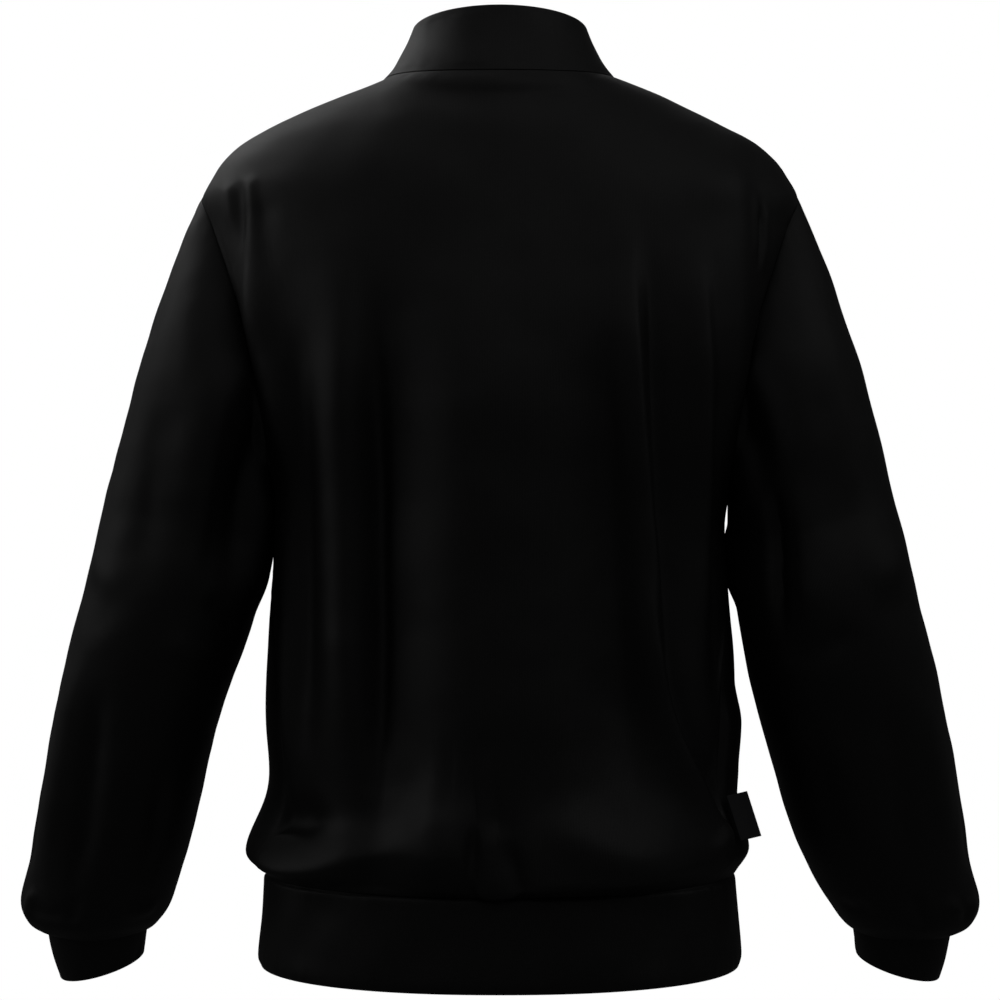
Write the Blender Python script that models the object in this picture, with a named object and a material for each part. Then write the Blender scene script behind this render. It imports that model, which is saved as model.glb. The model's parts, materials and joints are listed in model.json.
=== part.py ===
"""Half-zip sweatshirt with a stand collar, filled out as when worn, with nobody inside.

Frame: metres, +Z up, +Y towards the wearer's back, +X towards the wearer's left.
The origin is the middle of the neck base, level with the points where collar and shoulder seam meet.
Each cloth piece is a loft through the sections in the tables below, with a wall on its inner side.
Neighbouring pieces stay SEAM_GAP apart along their seams.
"""

from collections import namedtuple

import bpy
import numpy as np
from mathutils import Matrix, Vector

# Driving dimensions.
CLOTH = 0.002  # wall of the single-layer pieces
DOUBLE_CLOTH = 0.003  # wall of the collar, hem band and cuffs, which are folded double
SEAM_GAP = 0.0003
HEM_SEAM_Z = -0.636
HEM_BOTTOM_Z = -0.709
UNDERARM_Z = -0.330
SHOULDER_Z = -0.092  # top of the armhole
NECK_HALF_WIDTH = 0.094
NECK_BACK_Z = -0.0055
NECK_FRONT_Z = -0.055
ARMHOLE_HALF_DEPTH = 0.058
SLIT_HALF_WIDTH = 0.0045
SEAM_SET_BACK = 0.42  # radians round the body from its side line to the side seam, at the hem
SEAM_SET_BACK_START = 0.02  # below the underarm, where the side seam starts to swing back
SEAM_SET_BACK_RUN = 0.15  # the height over which it does
NECK_BACK_POWER, NECK_FRONT_POWER = 1.0, 1.6  # how flat-bottomed the neck seam's two halves are
ARMHOLE_FULLER_BELOW = 0.15
ARM_RADIUS = 0.067  # of the sleeve, for distances round it
BLOUSE_FADE = 1.1  # reach of the blousing over its crest, in heights of the crest
FLAT_BESIDE_SLIT = 0.030  # the front's folds die out over this width towards the slit

# Ways the sleeve's cap leaves the armhole edge, which it stands off by the seam's gap, and the way it
# arrives at its first ring.
CAP_OFF_SEAM = np.array([0.968, 0.0, -0.249])
CAP_FROM_UNDERARM = np.array([0.16, 0.0, -0.99])
CAP_FROM_SHOULDER = np.array([0.40, 0.0, -0.90])
CAP_FROM_SIDES = np.array([0.80, 0.0, -0.55])
CAP_SWELL = np.array([0.0, 0.28, 0.0])
CAP_ARRIVES = np.array([0.24, 0.0, -0.97])

# Collar, whose top edge is a level oval that is drawn back and down at the front and raised behind.
COLLAR_HALF_WIDTH = 0.0705
COLLAR_HALF_DEPTH = 0.066
COLLAR_SHIFT = -0.002
COLLAR_DRAWN_BACK = 0.022
COLLAR_HEIGHT = 0.040
COLLAR_RAISED = 0.0085
COLLAR_LOWERED = 0.024
COLLAR_CENTRE_Y = -0.005  # angles round the collar are measured about this, on an oval this much wider
COLLAR_OVAL = 0.95
COLLAR_FLARE = 0.35  # the sides leave the neck seam this share further out, and rise this share less
COLLAR_SLOW_RISE = 0.2
COLLAR_TOP_SLOPE = (0.7, 1.1)  # shares of its whole way in and up with which it reaches the top edge
COLLAR_ROWS = 6

# Zip, measured up the middle of the front from the slit's end.
TAPE_WIDTH = 0.012
TAPE_THICKNESS = 0.0008
TAPE_TAIL = 0.010  # how far the tapes run on below the slit
TAPE_BELOW_TOP = 0.0005
TAPE_CLEARANCE = 0.0002  # more room behind the cloth, whose facets are not quite the tape's
CHAIN_WIDTH = 0.005
CHAIN_THICKNESS = 0.002
CHAIN_START = 0.0035
SLIDER_BELOW_TOP = 0.012  # slider's middle to the collar's top edge
SLIDER_WIDTH = 0.0076
SLIDER_LENGTH = 0.0095
SLIDER_PLATE = 0.0011
NECK_WIDTH = 0.0024  # the slider's wedge, between its two plates
NECK_START = 0.0012
NECK_LENGTH = 0.0024
BRIDGE_WIDTH = 0.0016
BRIDGE_LENGTH = 0.0080
BRIDGE_HEIGHT = 0.0028
BRIDGE_BAR = 0.0008
OVERLAP = 0.0002  # how far the bodies of the slider and of the tab run into each other
STOP_THICKNESS = 0.0012
STOP_SUNK = 0.0001
STOP_LENGTH = 0.0018
STOP_INNER = 0.0014
STOP_WIDTH = 0.0022
TAB_WIDTH = 0.0056
TAB_LENGTH = 0.026
TAB_THICKNESS = 0.0011
TAB_SLOT_LENGTH = 0.0048
TAB_ARM_WIDTH = 0.0017
TAB_PIN_RADIUS = 0.0005
TAB_PIN_HEIGHT = 0.0009  # above the slider's front plate
TAB_ARM_TOP = 0.0005  # how far the arms run past the pin
TAB_TILT = 0.075  # radians the tab stands off the slider's plate where it rests on the chain below

# Label, a blank folded tape whose inner edge is sewn into the right side seam.
LABEL_TOP_Z = -0.5696
LABEL_BOTTOM_Z = -0.6036
LABEL_WIDTH = 0.0165
LABEL_THICKNESS = 0.001
LABEL_RUN = (-0.972, 0.0, 0.235)  # the way it stands out of the seam
LABEL_OFF_SEAM = 0.0022  # its straight edge, off the seam's ends; the seam bulges between them

# Grid of the panels. Half the columns run from the middle to the side, NECK_COLUMNS of them at the neck.
HALF_COLUMNS = 12
NECK_COLUMNS = 5
LOW_ROWS = 9  # hem seam to underarm
HIGH_ROWS = 11  # underarm to shoulder seam; the armhole is sampled at the same rows
SLIT_ROW = 3  # the high row where the slit ends
UNDERARM_DIP = 0.070  # how far the underarm row sags between the two side seams
CAP_ROWS = 7  # rows of a sleeve from the armhole to its first ring
ARM_ROWS = 13
CUFF_ROWS = 5
BAND_ROWS = 5
BAND_COLUMNS = 40
LOW_CROWDING = 1.35  # powers by which the rows crowd towards the hem seam, and towards the neck
HIGH_CROWDING = 1.6
EDGE_STEPS = 400  # steps in which the shoulder line is read from its table
SAME_STATION = 1e-4  # stations up the zip that lie closer than this are one
FRAME_STEP = 0.001  # the step up the zip from which its direction is taken

CHAIN_BEHIND = TAPE_THICKNESS / 2 - CHAIN_THICKNESS / 2  # the chain straddles the tapes

CLOTH_COLOUR = (0.0060, 0.0060, 0.0066, 1.0)
ZIP_COLOUR = (0.0100, 0.0100, 0.0110, 1.0)
LABEL_COLOUR = (0.0170, 0.0170, 0.0185, 1.0)

# Outline of the body as seen from the front: half the width at each height. Above SHOULDER_Z it is the
# shoulder line, up to the neck.
Side = namedtuple("Side", "z half_width")
SIDE_LINE = [
    Side(-0.640, 0.1895),
    Side(-0.600, 0.1870),
    Side(-0.560, 0.1855),
    Side(-0.520, 0.1885),
    Side(-0.480, 0.1888),
    Side(-0.430, 0.1850),
    Side(-0.390, 0.1826),
    Side(-0.360, 0.1812),
    Side(-0.330, 0.1835),
    Side(-0.290, 0.1945),
    Side(-0.250, 0.2055),
    Side(-0.200, 0.2180),
    Side(-0.150, 0.2300),
    Side(-0.120, 0.2360),
    Side(-0.092, 0.2400),
    Side(-0.079, 0.2331),
    Side(-0.063, 0.2222),
    Side(-0.047, 0.2024),
    Side(-0.030, 0.1677),
    Side(-0.014, 0.1306),
    Side(-0.006, 0.1100),
    Side(0.000, 0.0940),
    Side(0.004, 0.0850),
]

# Horizontal sections of the body: how far it reaches back and front of its own centre line, and the
# power of each half's curve (2 is an ellipse, more is squarer, less is more pointed at the sides).
Section = namedtuple("Section", "z back front centre_y back_power front_power")
SECTIONS = [
    Section(-0.640, 0.1300, 0.1300, -0.006, 2.2, 2.2),
    Section(-0.560, 0.1260, 0.1240, -0.005, 2.2, 2.2),
    Section(-0.480, 0.1220, 0.1210, -0.003, 2.3, 2.3),
    Section(-0.400, 0.1185, 0.1200, -0.001, 2.4, 2.4),
    Section(-0.330, 0.1185, 0.1250, 0.000, 2.6, 2.5),
    Section(-0.260, 0.1210, 0.1320, -0.001, 2.9, 2.6),
    Section(-0.200, 0.1210, 0.1330, -0.003, 3.0, 2.6),
    Section(-0.150, 0.1190, 0.1340, -0.006, 2.8, 2.4),
    Section(-0.092, 0.1140, 0.1260, -0.008, 2.2, 2.0),
    Section(-0.047, 0.1040, 0.1070, -0.007, 1.6, 1.7),
    Section(-0.014, 0.0905, 0.0925, -0.005, 1.6, 1.7),
    Section(0.000, 0.0800, 0.0840, -0.004, 2.0, 2.0),
    Section(0.004, 0.0770, 0.0810, -0.004, 2.0, 2.0),
]

# The body blouses over the hem seam. At each angle round the body (0 is the wearer's left side, 90 the
# back, -90 the front) it swells by bulge, at a height of crest over the seam.
Blouse = namedtuple("Blouse", "angle bulge crest")
BLOUSE = [
    Blouse(-180, 0.013, 0.030),
    Blouse(-150, 0.018, 0.026),
    Blouse(-120, 0.013, 0.038),
    Blouse(-90, 0.017, 0.030),
    Blouse(-60, 0.020, 0.034),
    Blouse(-30, 0.013, 0.024),
    Blouse(0, 0.017, 0.025),
    Blouse(30, 0.018, 0.026),
    Blouse(60, 0.019, 0.038),
    Blouse(80, 0.015, 0.045),
    Blouse(100, 0.020, 0.040),
    Blouse(120, 0.018, 0.036),
    Blouse(150, 0.018, 0.034),
    Blouse(180, 0.013, 0.030),
]

# Sleeve rings, from below the underarm to the cuff seam: middle, half the width seen from the front,
# half the depth, lean of the ring's outer end upwards and of its back edge downwards, in degrees. The
# right sleeve hangs fuller towards the body.
Ring = namedtuple("Ring", "z x y half_width half_depth lean pitch right_fuller")
SLEEVE = [
    Ring(-0.356, 0.2513, 0.000, 0.0678, 0.0670, 14, 0, 0.000),
    Ring(-0.420, 0.2660, 0.004, 0.0685, 0.0690, 13, 0, 0.007),
    Ring(-0.500, 0.2916, -0.008, 0.0654, 0.0670, 12, 10, 0.017),
    Ring(-0.584, 0.3121, -0.030, 0.0650, 0.0650, 12, 14, 0.012),
    Ring(-0.640, 0.3270, -0.047, 0.0618, 0.0620, 9, 14, 0.005),
    Ring(-0.668, 0.3359, -0.056, 0.0613, 0.0600, 4, 12, 0.000),
    Ring(-0.682, 0.3386, -0.061, 0.0559, 0.0540, 2, 10, 0.000),
    Ring(-0.6890, 0.3385, -0.0635, 0.0490, 0.0470, 1, 8, 0.000),
    Ring(-0.6880, 0.3370, -0.0635, 0.0432, 0.0424, -4, 8, 0.000),
    Ring(-0.6800, 0.3365, -0.0620, 0.0424, 0.0418, -4, 8, 0.000),
]
CUFF = [
    Ring(-0.6803, 0.3365, -0.0620, 0.0418, 0.0412, -4, 8, 0),
    Ring(-0.6980, 0.3350, -0.0650, 0.0402, 0.0396, -8, 8, 0),
    Ring(-0.7130, 0.3342, -0.0675, 0.0382, 0.0378, -11, 8, 0),
    Ring(-0.7255, 0.3330, -0.0695, 0.0355, 0.0352, -14, 8, 0),
]
BAND = [
    Ring(HEM_SEAM_Z - SEAM_GAP, 0.0, -0.006, 0.1895, 0.1300, 0, 0, 0),
    Ring(-0.6700, 0.0, -0.006, 0.1920, 0.1310, 0, 0, 0),
    Ring(-0.7000, 0.0, -0.006, 0.1945, 0.1320, 0, 0, 0),
    Ring(HEM_BOTTOM_Z, 0.0, -0.006, 0.1925, 0.1300, 0, 0, 0),
]

# Largest folds of a panel, as seen from its own side: the fold runs from the first point to the second
# and dies out over its reach. A negative height is a trough.
Fold = namedtuple("Fold", "x1 z1 x2 z2 reach height")
BACK_FOLDS = [
    Fold(0.055, -0.190, 0.056, -0.590, 0.022, 0.0050),
    Fold(0.094, -0.290, 0.096, -0.560, 0.015, -0.0060),
    Fold(0.124, -0.170, 0.122, -0.470, 0.018, 0.0040),
    Fold(0.154, -0.240, 0.150, -0.430, 0.014, -0.0045),
    Fold(-0.101, -0.190, -0.106, -0.370, 0.016, 0.0050),
    Fold(-0.106, -0.370, -0.128, -0.520, 0.017, 0.0055),
    Fold(-0.128, -0.520, -0.168, -0.590, 0.018, 0.0050),
    Fold(-0.124, -0.220, -0.126, -0.420, 0.012, -0.0045),
    Fold(-0.150, -0.180, -0.152, -0.350, 0.014, 0.0035),
    Fold(0.000, -0.250, 0.000, -0.520, 0.040, -0.0025),
]
FRONT_FOLDS = [
    Fold(0.070, -0.280, 0.056, -0.560, 0.022, 0.0050),
    Fold(-0.074, -0.250, -0.060, -0.580, 0.022, 0.0050),
    Fold(0.105, -0.330, 0.095, -0.540, 0.016, -0.0050),
    Fold(-0.112, -0.300, -0.102, -0.520, 0.016, -0.0050),
    Fold(0.140, -0.260, 0.118, -0.440, 0.018, 0.0040),
    Fold(-0.142, -0.230, -0.130, -0.420, 0.018, 0.0040),
    Fold(0.030, -0.340, 0.020, -0.540, 0.018, -0.0030),
]

# Largest folds of a sleeve: an angle round it (0 faces the body, 90 the back, 180 outwards) at each end.
SleeveFold = namedtuple("SleeveFold", "angle1 z1 angle2 z2 reach height")
SLEEVE_FOLDS = [
    SleeveFold(150, -0.290, 158, -0.395, 0.018, 0.0040),
    SleeveFold(60, -0.280, 50, -0.390, 0.016, -0.0045),
    SleeveFold(170, -0.418, 110, -0.428, 0.012, -0.0050),
    SleeveFold(40, -0.430, 80, -0.462, 0.014, -0.0040),
    SleeveFold(140, -0.480, 132, -0.580, 0.018, 0.0040),
    SleeveFold(112, -0.520, 106, -0.620, 0.014, -0.0045),
    SleeveFold(250, -0.400, 215, -0.440, 0.014, -0.0050),
    SleeveFold(300, -0.380, 280, -0.500, 0.018, 0.0040),
]


def column(rows, name):
    return np.array([getattr(row, name) for row in rows])


def smooth(rows, name, at, key="z"):
    """A table's column at any key value: cubic pieces that leave each row with its neighbours' slope."""
    knots, values = column(rows, key), column(rows, name)
    if knots[0] > knots[-1]:
        knots, values = knots[::-1], values[::-1]
    slopes = np.gradient(values, knots)
    piece = np.clip(np.searchsorted(knots, at) - 1, 0, len(knots) - 2)
    span = knots[piece + 1] - knots[piece]
    share = np.clip((at - knots[piece]) / span, 0, 1)
    return hermite(
        values[piece], slopes[piece] * span, values[piece + 1], slopes[piece + 1] * span, share
    )


def hermite(start, start_slope, end, end_slope, share):
    """Cubic from start to end that leaves and arrives with the given slopes."""
    s2, s3 = share**2, share**3
    return (
        (2 * s3 - 3 * s2 + 1) * start
        + (s3 - 2 * s2 + share) * start_slope
        + (3 * s2 - 2 * s3) * end
        + (s3 - s2) * end_slope
    )


def half_section(z, side):
    """Depth and power of the back half (side 1) or the front half (side -1) of a body section."""
    depth = np.where(side > 0, smooth(SECTIONS, "back", z), smooth(SECTIONS, "front", z))
    power = np.where(side > 0, smooth(SECTIONS, "back_power", z), smooth(SECTIONS, "front_power", z))
    return depth, power


def torso(x, z, side):
    """Point of the body at this x and z, on its back (side 1) or front (side -1), before the blousing.

    y leaves the centre line by depth * sqrt(1 - |x / half_width| ** power).
    """
    depth, power = half_section(z, side)
    share = np.clip(np.abs(x) / smooth(SIDE_LINE, "half_width", z), 0, 1)
    y = smooth(SECTIONS, "centre_y", z) + side * depth * np.sqrt(1 - share**power)
    return np.stack([x, y, z], axis=-1)


def body(turn, z, side):
    """Point of the bloused body at this turn round it, in radians from the middle of its side."""
    x = smooth(SIDE_LINE, "half_width", z) * np.sin(turn)
    return bloused(torso(x, z, side * np.where(np.cos(turn) < 0, -1, 1)))


def side_seam(z):
    """How far round the body, in radians behind its side line, the side seam lies at this height."""
    share = np.clip((UNDERARM_Z - SEAM_SET_BACK_START - z) / SEAM_SET_BACK_RUN, 0, 1)
    return SEAM_SET_BACK * share**2 * (3 - 2 * share)


def side_seam_normal(z, hand):
    """Outward direction at the side seam, left (hand 1) or right (hand -1)."""
    turn, step = hand * (np.pi / 2 - side_seam(z)), 0.002
    across = body(turn + step, z, 1) - body(turn - step, z, 1)
    up = body(turn, z + step, 1) - body(turn, z - step, 1)
    normal = np.cross(up, across)
    return normal / np.linalg.norm(normal, axis=-1, keepdims=True)


def bloused(points):
    """The points moved outwards by the blousing: it rises as a sine to its crest, then fades as a bell."""
    x, y, z = np.moveaxis(points, -1, 0)
    centre = smooth(SECTIONS, "centre_y", z)
    angle = np.degrees(np.arctan2(y - centre, x))
    crest = smooth(BLOUSE, "crest", angle, "angle")
    height = (z - HEM_SEAM_Z) / crest
    rise = np.sin(np.pi / 2 * np.clip(height, 0, 1))
    fade = np.exp(-((np.clip(height - 1, 0, None) / BLOUSE_FADE) ** 2))
    swell = smooth(BLOUSE, "bulge", angle, "angle") * rise * fade
    flat = np.radians(angle)
    return points + np.stack([swell * np.cos(flat), swell * np.sin(flat), 0 * z], axis=-1)


def armhole(turn, side):
    """Point of the armhole edge: turn 0 is the underarm and 1 the shoulder, round the back or front.

    Its height follows a cosine and its depth a sine that is fuller below; x is where the body is.
    """
    angle = np.pi * turn
    z = (UNDERARM_Z + SHOULDER_Z) / 2 - (SHOULDER_Z - UNDERARM_Z) / 2 * np.cos(angle)
    reach = ARMHOLE_HALF_DEPTH * np.sin(angle) * (1 + ARMHOLE_FULLER_BELOW * np.cos(angle))
    depth, power = half_section(z, side)
    x = smooth(SIDE_LINE, "half_width", z) * (1 - (reach / depth) ** 2) ** (1 / power)
    return x, z


def neckline_z(x, side):
    """Height of the neck seam: from the shoulder seams down to the middle, more at the front."""
    drop, power = (NECK_BACK_Z, NECK_BACK_POWER) if side > 0 else (NECK_FRONT_Z, NECK_FRONT_POWER)
    return drop * np.clip(1 - (x / NECK_HALF_WIDTH) ** 2, 0, 1) ** power


def top_edge(share, side):
    """x and z of a panel's upper edge at this share of the way out: neck seam, then shoulder seam."""
    neck = NECK_COLUMNS / HALF_COLUMNS
    x_neck = NECK_HALF_WIDTH * np.sin(np.pi / 2 * np.clip(share / neck, 0, 1))
    out = np.clip((share - neck) / (1 - neck), 0, 1)
    heights = np.linspace(SHOULDER_Z, 0, EDGE_STEPS)
    widths = smooth(SIDE_LINE, "half_width", heights)
    x_shoulder = NECK_HALF_WIDTH + (widths[0] - NECK_HALF_WIDTH) * np.sin(np.pi / 2 * out)
    z_shoulder = np.interp(x_shoulder, widths[::-1], heights[::-1])
    on_neck = share < neck
    return (
        np.where(on_neck, x_neck, x_shoulder),
        np.where(on_neck, neckline_z(x_neck, side), z_shoulder),
    )


def panel_points(side):
    """The grid of the back (side 1) or front (side -1), rows from hem seam to shoulder seam.

    Below the underarm row the columns spread as a sine across the body. Above it the ends of the rows
    follow the armhole, and the rows bend up to the shoulder and neck edge.
    """
    share = np.linspace(-1, 1, 2 * HALF_COLUMNS + 1)
    if side < 0:
        share = np.sort(np.append(share[share != 0], [-0.02, 0.02]))
    out = np.abs(share)[None, :]
    turn = np.linspace(0, 1, HIGH_ROWS + 1)[:, None]
    x_end, z_end = armhole(turn, side)
    x_top, z_top = top_edge(out, side)
    middle_low = UNDERARM_Z - UNDERARM_DIP
    middle_top = NECK_BACK_Z if side > 0 else NECK_FRONT_Z
    z_middle = middle_low + (middle_top - middle_low) * (1 - (1 - turn) ** HIGH_CROWDING)
    spread = np.sin(np.pi / 2 * out)
    bend = out**4
    rise = np.sin(np.pi / 2 * turn) ** 3
    z_high = z_middle + (z_end - z_middle) * bend
    z_high = z_high + (z_top - (z_middle[-1] + (z_end[-1] - z_middle[-1]) * bend)) * rise
    taper = smooth(SIDE_LINE, "half_width", z_high) / smooth(SIDE_LINE, "half_width", z_end)
    x_high = x_end * spread * taper ** ((1 - turn) ** 3) + (x_top - x_end[-1] * spread) * rise
    low = np.linspace(0, 1, LOW_ROWS + 1)[:-1, None] ** LOW_CROWDING
    z_low = HEM_SEAM_Z + (z_high[0] - HEM_SEAM_Z) * low
    turn_low = out * (np.pi / 2 - side * side_seam(z_low))
    x_low = smooth(SIDE_LINE, "half_width", z_low) * np.sin(turn_low)
    which = side * np.concatenate([np.where(np.cos(turn_low) < 0, -1, 1), np.ones_like(z_high)])
    x = np.concatenate([x_low, x_high]) * np.sign(share)
    z = np.concatenate([z_low, z_high])
    if side < 0:
        x[:, HALF_COLUMNS] = -SLIT_HALF_WIDTH
        x[:, HALF_COLUMNS + 1] = SLIT_HALF_WIDTH
    points = bloused(torso(x, z, which))
    points = points + fold_lift(points, side)[..., None] * normals(points, -side)
    points[..., 1] += side * SEAM_GAP / 2
    normal = normals(points, -side)
    # Where front meets back, both walls go the same way in from the seam.
    for edge, hand in ((0, -1), (-1, 1)):
        normal[: LOW_ROWS + 1, edge] = side_seam_normal(z[: LOW_ROWS + 1, edge], hand)
    normal[-1, np.abs(share) >= NECK_COLUMNS / HALF_COLUMNS - 1e-9, 1] = 0
    return points, normal / np.linalg.norm(normal, axis=-1, keepdims=True)


def normals(points, sign):
    """Unit normals of a grid of points, from the differences along its rows and columns."""
    normal = np.cross(np.gradient(points, axis=1), np.gradient(points, axis=0))
    return sign * normal / np.linalg.norm(normal, axis=-1, keepdims=True)


def fold_lift(points, side):
    """Height of a panel's folds: a bell round each fold's line, dying out towards the seams."""
    folds = FRONT_FOLDS if side < 0 else BACK_FOLDS
    x, z = points[..., 0], points[..., 2]
    lift = np.zeros_like(x)
    for fold in folds:
        run = np.array([fold.x2 - fold.x1, fold.z2 - fold.z1])
        along = ((x - fold.x1) * run[0] + (z - fold.z1) * run[1]) / (run @ run)
        along = np.clip(along, 0, 1)
        off = np.hypot(x - fold.x1 - along * run[0], z - fold.z1 - along * run[1])
        lift += fold.height * np.exp(-((off / fold.reach) ** 2))
    rows, columns = lift.shape
    across = np.minimum(np.arange(columns), np.arange(columns)[::-1]) / 2
    up = np.minimum(np.arange(rows), np.arange(rows)[::-1]) / 2
    lift *= np.clip(across, 0, 1)[None, :] * np.clip(up, 0, 1)[:, None]
    if side < 0:
        lift *= np.clip(np.abs(x) / FLAT_BESIDE_SLIT, 0, 1)
    return lift


def ring_points(rings, rows, angles, fuller=0.0, power=2.0):
    """Rows of points down a sleeve, cuff or band: ellipses in planes that lean and pitch.

    The rows are spread evenly over the table's own, with a cubic through each column. A power over 2
    makes each ellipse fuller at its diagonals.
    """
    place = np.linspace(0, len(rings) - 1, rows)
    piece = np.clip(place.astype(int), 0, len(rings) - 2)
    value = {}
    for name in Ring._fields:
        given = column(rings, name)
        slope = np.gradient(given)
        ends = (given[piece], slope[piece], given[piece + 1], slope[piece + 1])
        value[name] = hermite(*ends, place - piece)[:, None]
    lean, pitch = np.radians(value["lean"]), np.radians(value["pitch"])
    wider = fuller * value["right_fuller"] / 2
    fuller_cos, fuller_sin = (
        np.sign(part) * np.abs(part) ** (2 / power) for part in (np.cos(angles), np.sin(angles))
    )
    across = -(value["half_width"] + wider) * fuller_cos
    back = value["half_depth"] * fuller_sin
    return np.stack(
        [
            value["x"] - wider + across * np.cos(lean),
            value["y"] + back * np.cos(pitch),
            value["z"] + across * np.sin(lean) - back * np.sin(pitch),
        ],
        axis=-1,
    )


def sleeve_points(fuller):
    """The grid of a left sleeve, rows from the armhole to the cuff seam, closed round.

    The cap is a cubic blend from the armhole edge to the first ring: it leaves the body outwards over
    the shoulder and down at the underarm, and arrives along the arm.
    """
    turn = np.linspace(0, 1, HIGH_ROWS + 1)
    back = torso(*armhole(turn, 1), 1)
    front = torso(*armhole(turn, -1), -1)
    edge = np.concatenate([back, front[-2:0:-1]]) + SEAM_GAP * CAP_OFF_SEAM
    angles = np.pi * np.concatenate([turn, 2 - turn[-2:0:-1]])
    arm = ring_points(SLEEVE, ARM_ROWS, angles, fuller)
    first = arm[0]
    length = np.linalg.norm(first - edge, axis=1, keepdims=True)
    sideways = np.sin(angles)[:, None]
    upper = (1 - np.cos(angles)[:, None]) / 2
    leave = (1 - upper) * CAP_FROM_UNDERARM + upper * CAP_FROM_SHOULDER
    leave = (1 - sideways**2) * leave + sideways**2 * CAP_FROM_SIDES + sideways * CAP_SWELL
    share = np.linspace(0, 1, CAP_ROWS + 1)[:-1, None, None]
    cap = hermite(edge, leave * length, first, CAP_ARRIVES * length, share)
    points = np.concatenate([cap, arm])
    lift = sleeve_lift(points, np.degrees(angles))
    return points + lift[..., None] * tube_normals(points)


def tube_normals(points):
    """Outward unit normals of a tube's grid, whose rows go down and run from the inner side by the back."""
    around = np.roll(points, -1, axis=1) - np.roll(points, 1, axis=1)
    normal = np.cross(around, np.gradient(points, axis=0))
    return normal / np.linalg.norm(normal, axis=-1, keepdims=True)


def sleeve_lift(points, angles):
    """Height of the sleeve's folds over its grid, with distances round it taken on ARM_RADIUS."""
    z = points[..., 2]
    lift = np.zeros_like(z)
    for fold in SLEEVE_FOLDS:
        along = np.clip((z - fold.z1) / (fold.z2 - fold.z1), 0, 1)
        middle = fold.angle1 + along * (fold.angle2 - fold.angle1)
        sideways = np.radians((angles - middle + 180) % 360 - 180) * ARM_RADIUS
        off = np.hypot(sideways, z - fold.z1 - along * (fold.z2 - fold.z1))
        lift += fold.height * np.exp(-((off / fold.reach) ** 2))
    rows = len(z)
    return lift * np.clip(np.minimum(np.arange(rows), np.arange(rows)[::-1]) / 3, 0, 1)[:, None]


def collar_points():
    """The grid of the collar, from its right front edge round the back to its left, rows going up.

    It leaves the neck seam flaring outwards and rises, leaning in, to an oval top edge that is highest
    at the back.
    """
    share = np.arange(NECK_COLUMNS + 1) / HALF_COLUMNS
    x_half, _ = top_edge(share, 1)
    x_half[0] = SLIT_HALF_WIDTH
    front = torso(x_half, neckline_z(x_half, -1), -1)
    x_back = np.concatenate([-x_half[:0:-1], [0], x_half[1:]])
    back = torso(x_back, neckline_z(x_back, 1), 1)
    right = front[:-1] * np.array([-1, 1, 1])
    base = np.concatenate([right, back, front[:-1][::-1]])
    base = base + np.array([0, 0, 2 * SEAM_GAP])
    angle = np.arctan2(base[:, 1] - COLLAR_CENTRE_Y, base[:, 0] * COLLAR_OVAL)
    forward = np.clip(-np.sin(angle), 0, 1)
    top = np.stack(
        [
            COLLAR_HALF_WIDTH * np.cos(angle),
            COLLAR_HALF_DEPTH * np.sin(angle) + COLLAR_SHIFT - COLLAR_DRAWN_BACK * forward,
            COLLAR_HEIGHT + COLLAR_RAISED * np.clip(np.sin(angle), 0, 1) - COLLAR_LOWERED * forward**1.5,
        ],
        axis=-1,
    )
    top[[0, -1], 0] = base[[0, -1], 0]
    length = np.linalg.norm(top - base, axis=1, keepdims=True)
    inward = (top - base) * np.array([1, 1, 0])
    upward = (top - base) * np.array([0, 0, 1])
    side = np.abs(np.cos(angle))[:, None]
    leave = inward * (1 + COLLAR_FLARE * side) + upward * (1 - COLLAR_SLOW_RISE * side)
    arrive = inward * COLLAR_TOP_SLOPE[0] + upward * COLLAR_TOP_SLOPE[1]
    leave *= length / np.linalg.norm(leave, axis=1, keepdims=True)
    arrive *= length / np.linalg.norm(arrive, axis=1, keepdims=True)
    rows = np.linspace(0, 1, COLLAR_ROWS)[:, None, None]
    return hermite(base, leave, top, arrive, rows)


def material(name, colour, roughness, metallic=0.0):
    made = bpy.data.materials.new(name)
    made.use_nodes = True
    shader = made.node_tree.nodes["Principled BSDF"]
    shader.inputs["Base Color"].default_value = colour
    shader.inputs["Roughness"].default_value = roughness
    shader.inputs["Metallic"].default_value = metallic
    return made


def grid_faces(rows, columns, closed=False, missing=()):
    """Quads of a grid, joined round if closed, leaving out each (row, column) in missing."""
    around = columns if closed else columns - 1
    return [
        (
            row * columns + col,
            row * columns + (col + 1) % columns,
            (row + 1) * columns + (col + 1) % columns,
            (row + 1) * columns + col,
        )
        for row in range(rows - 1)
        for col in range(around)
        if (row, col) not in missing
    ]


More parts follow.
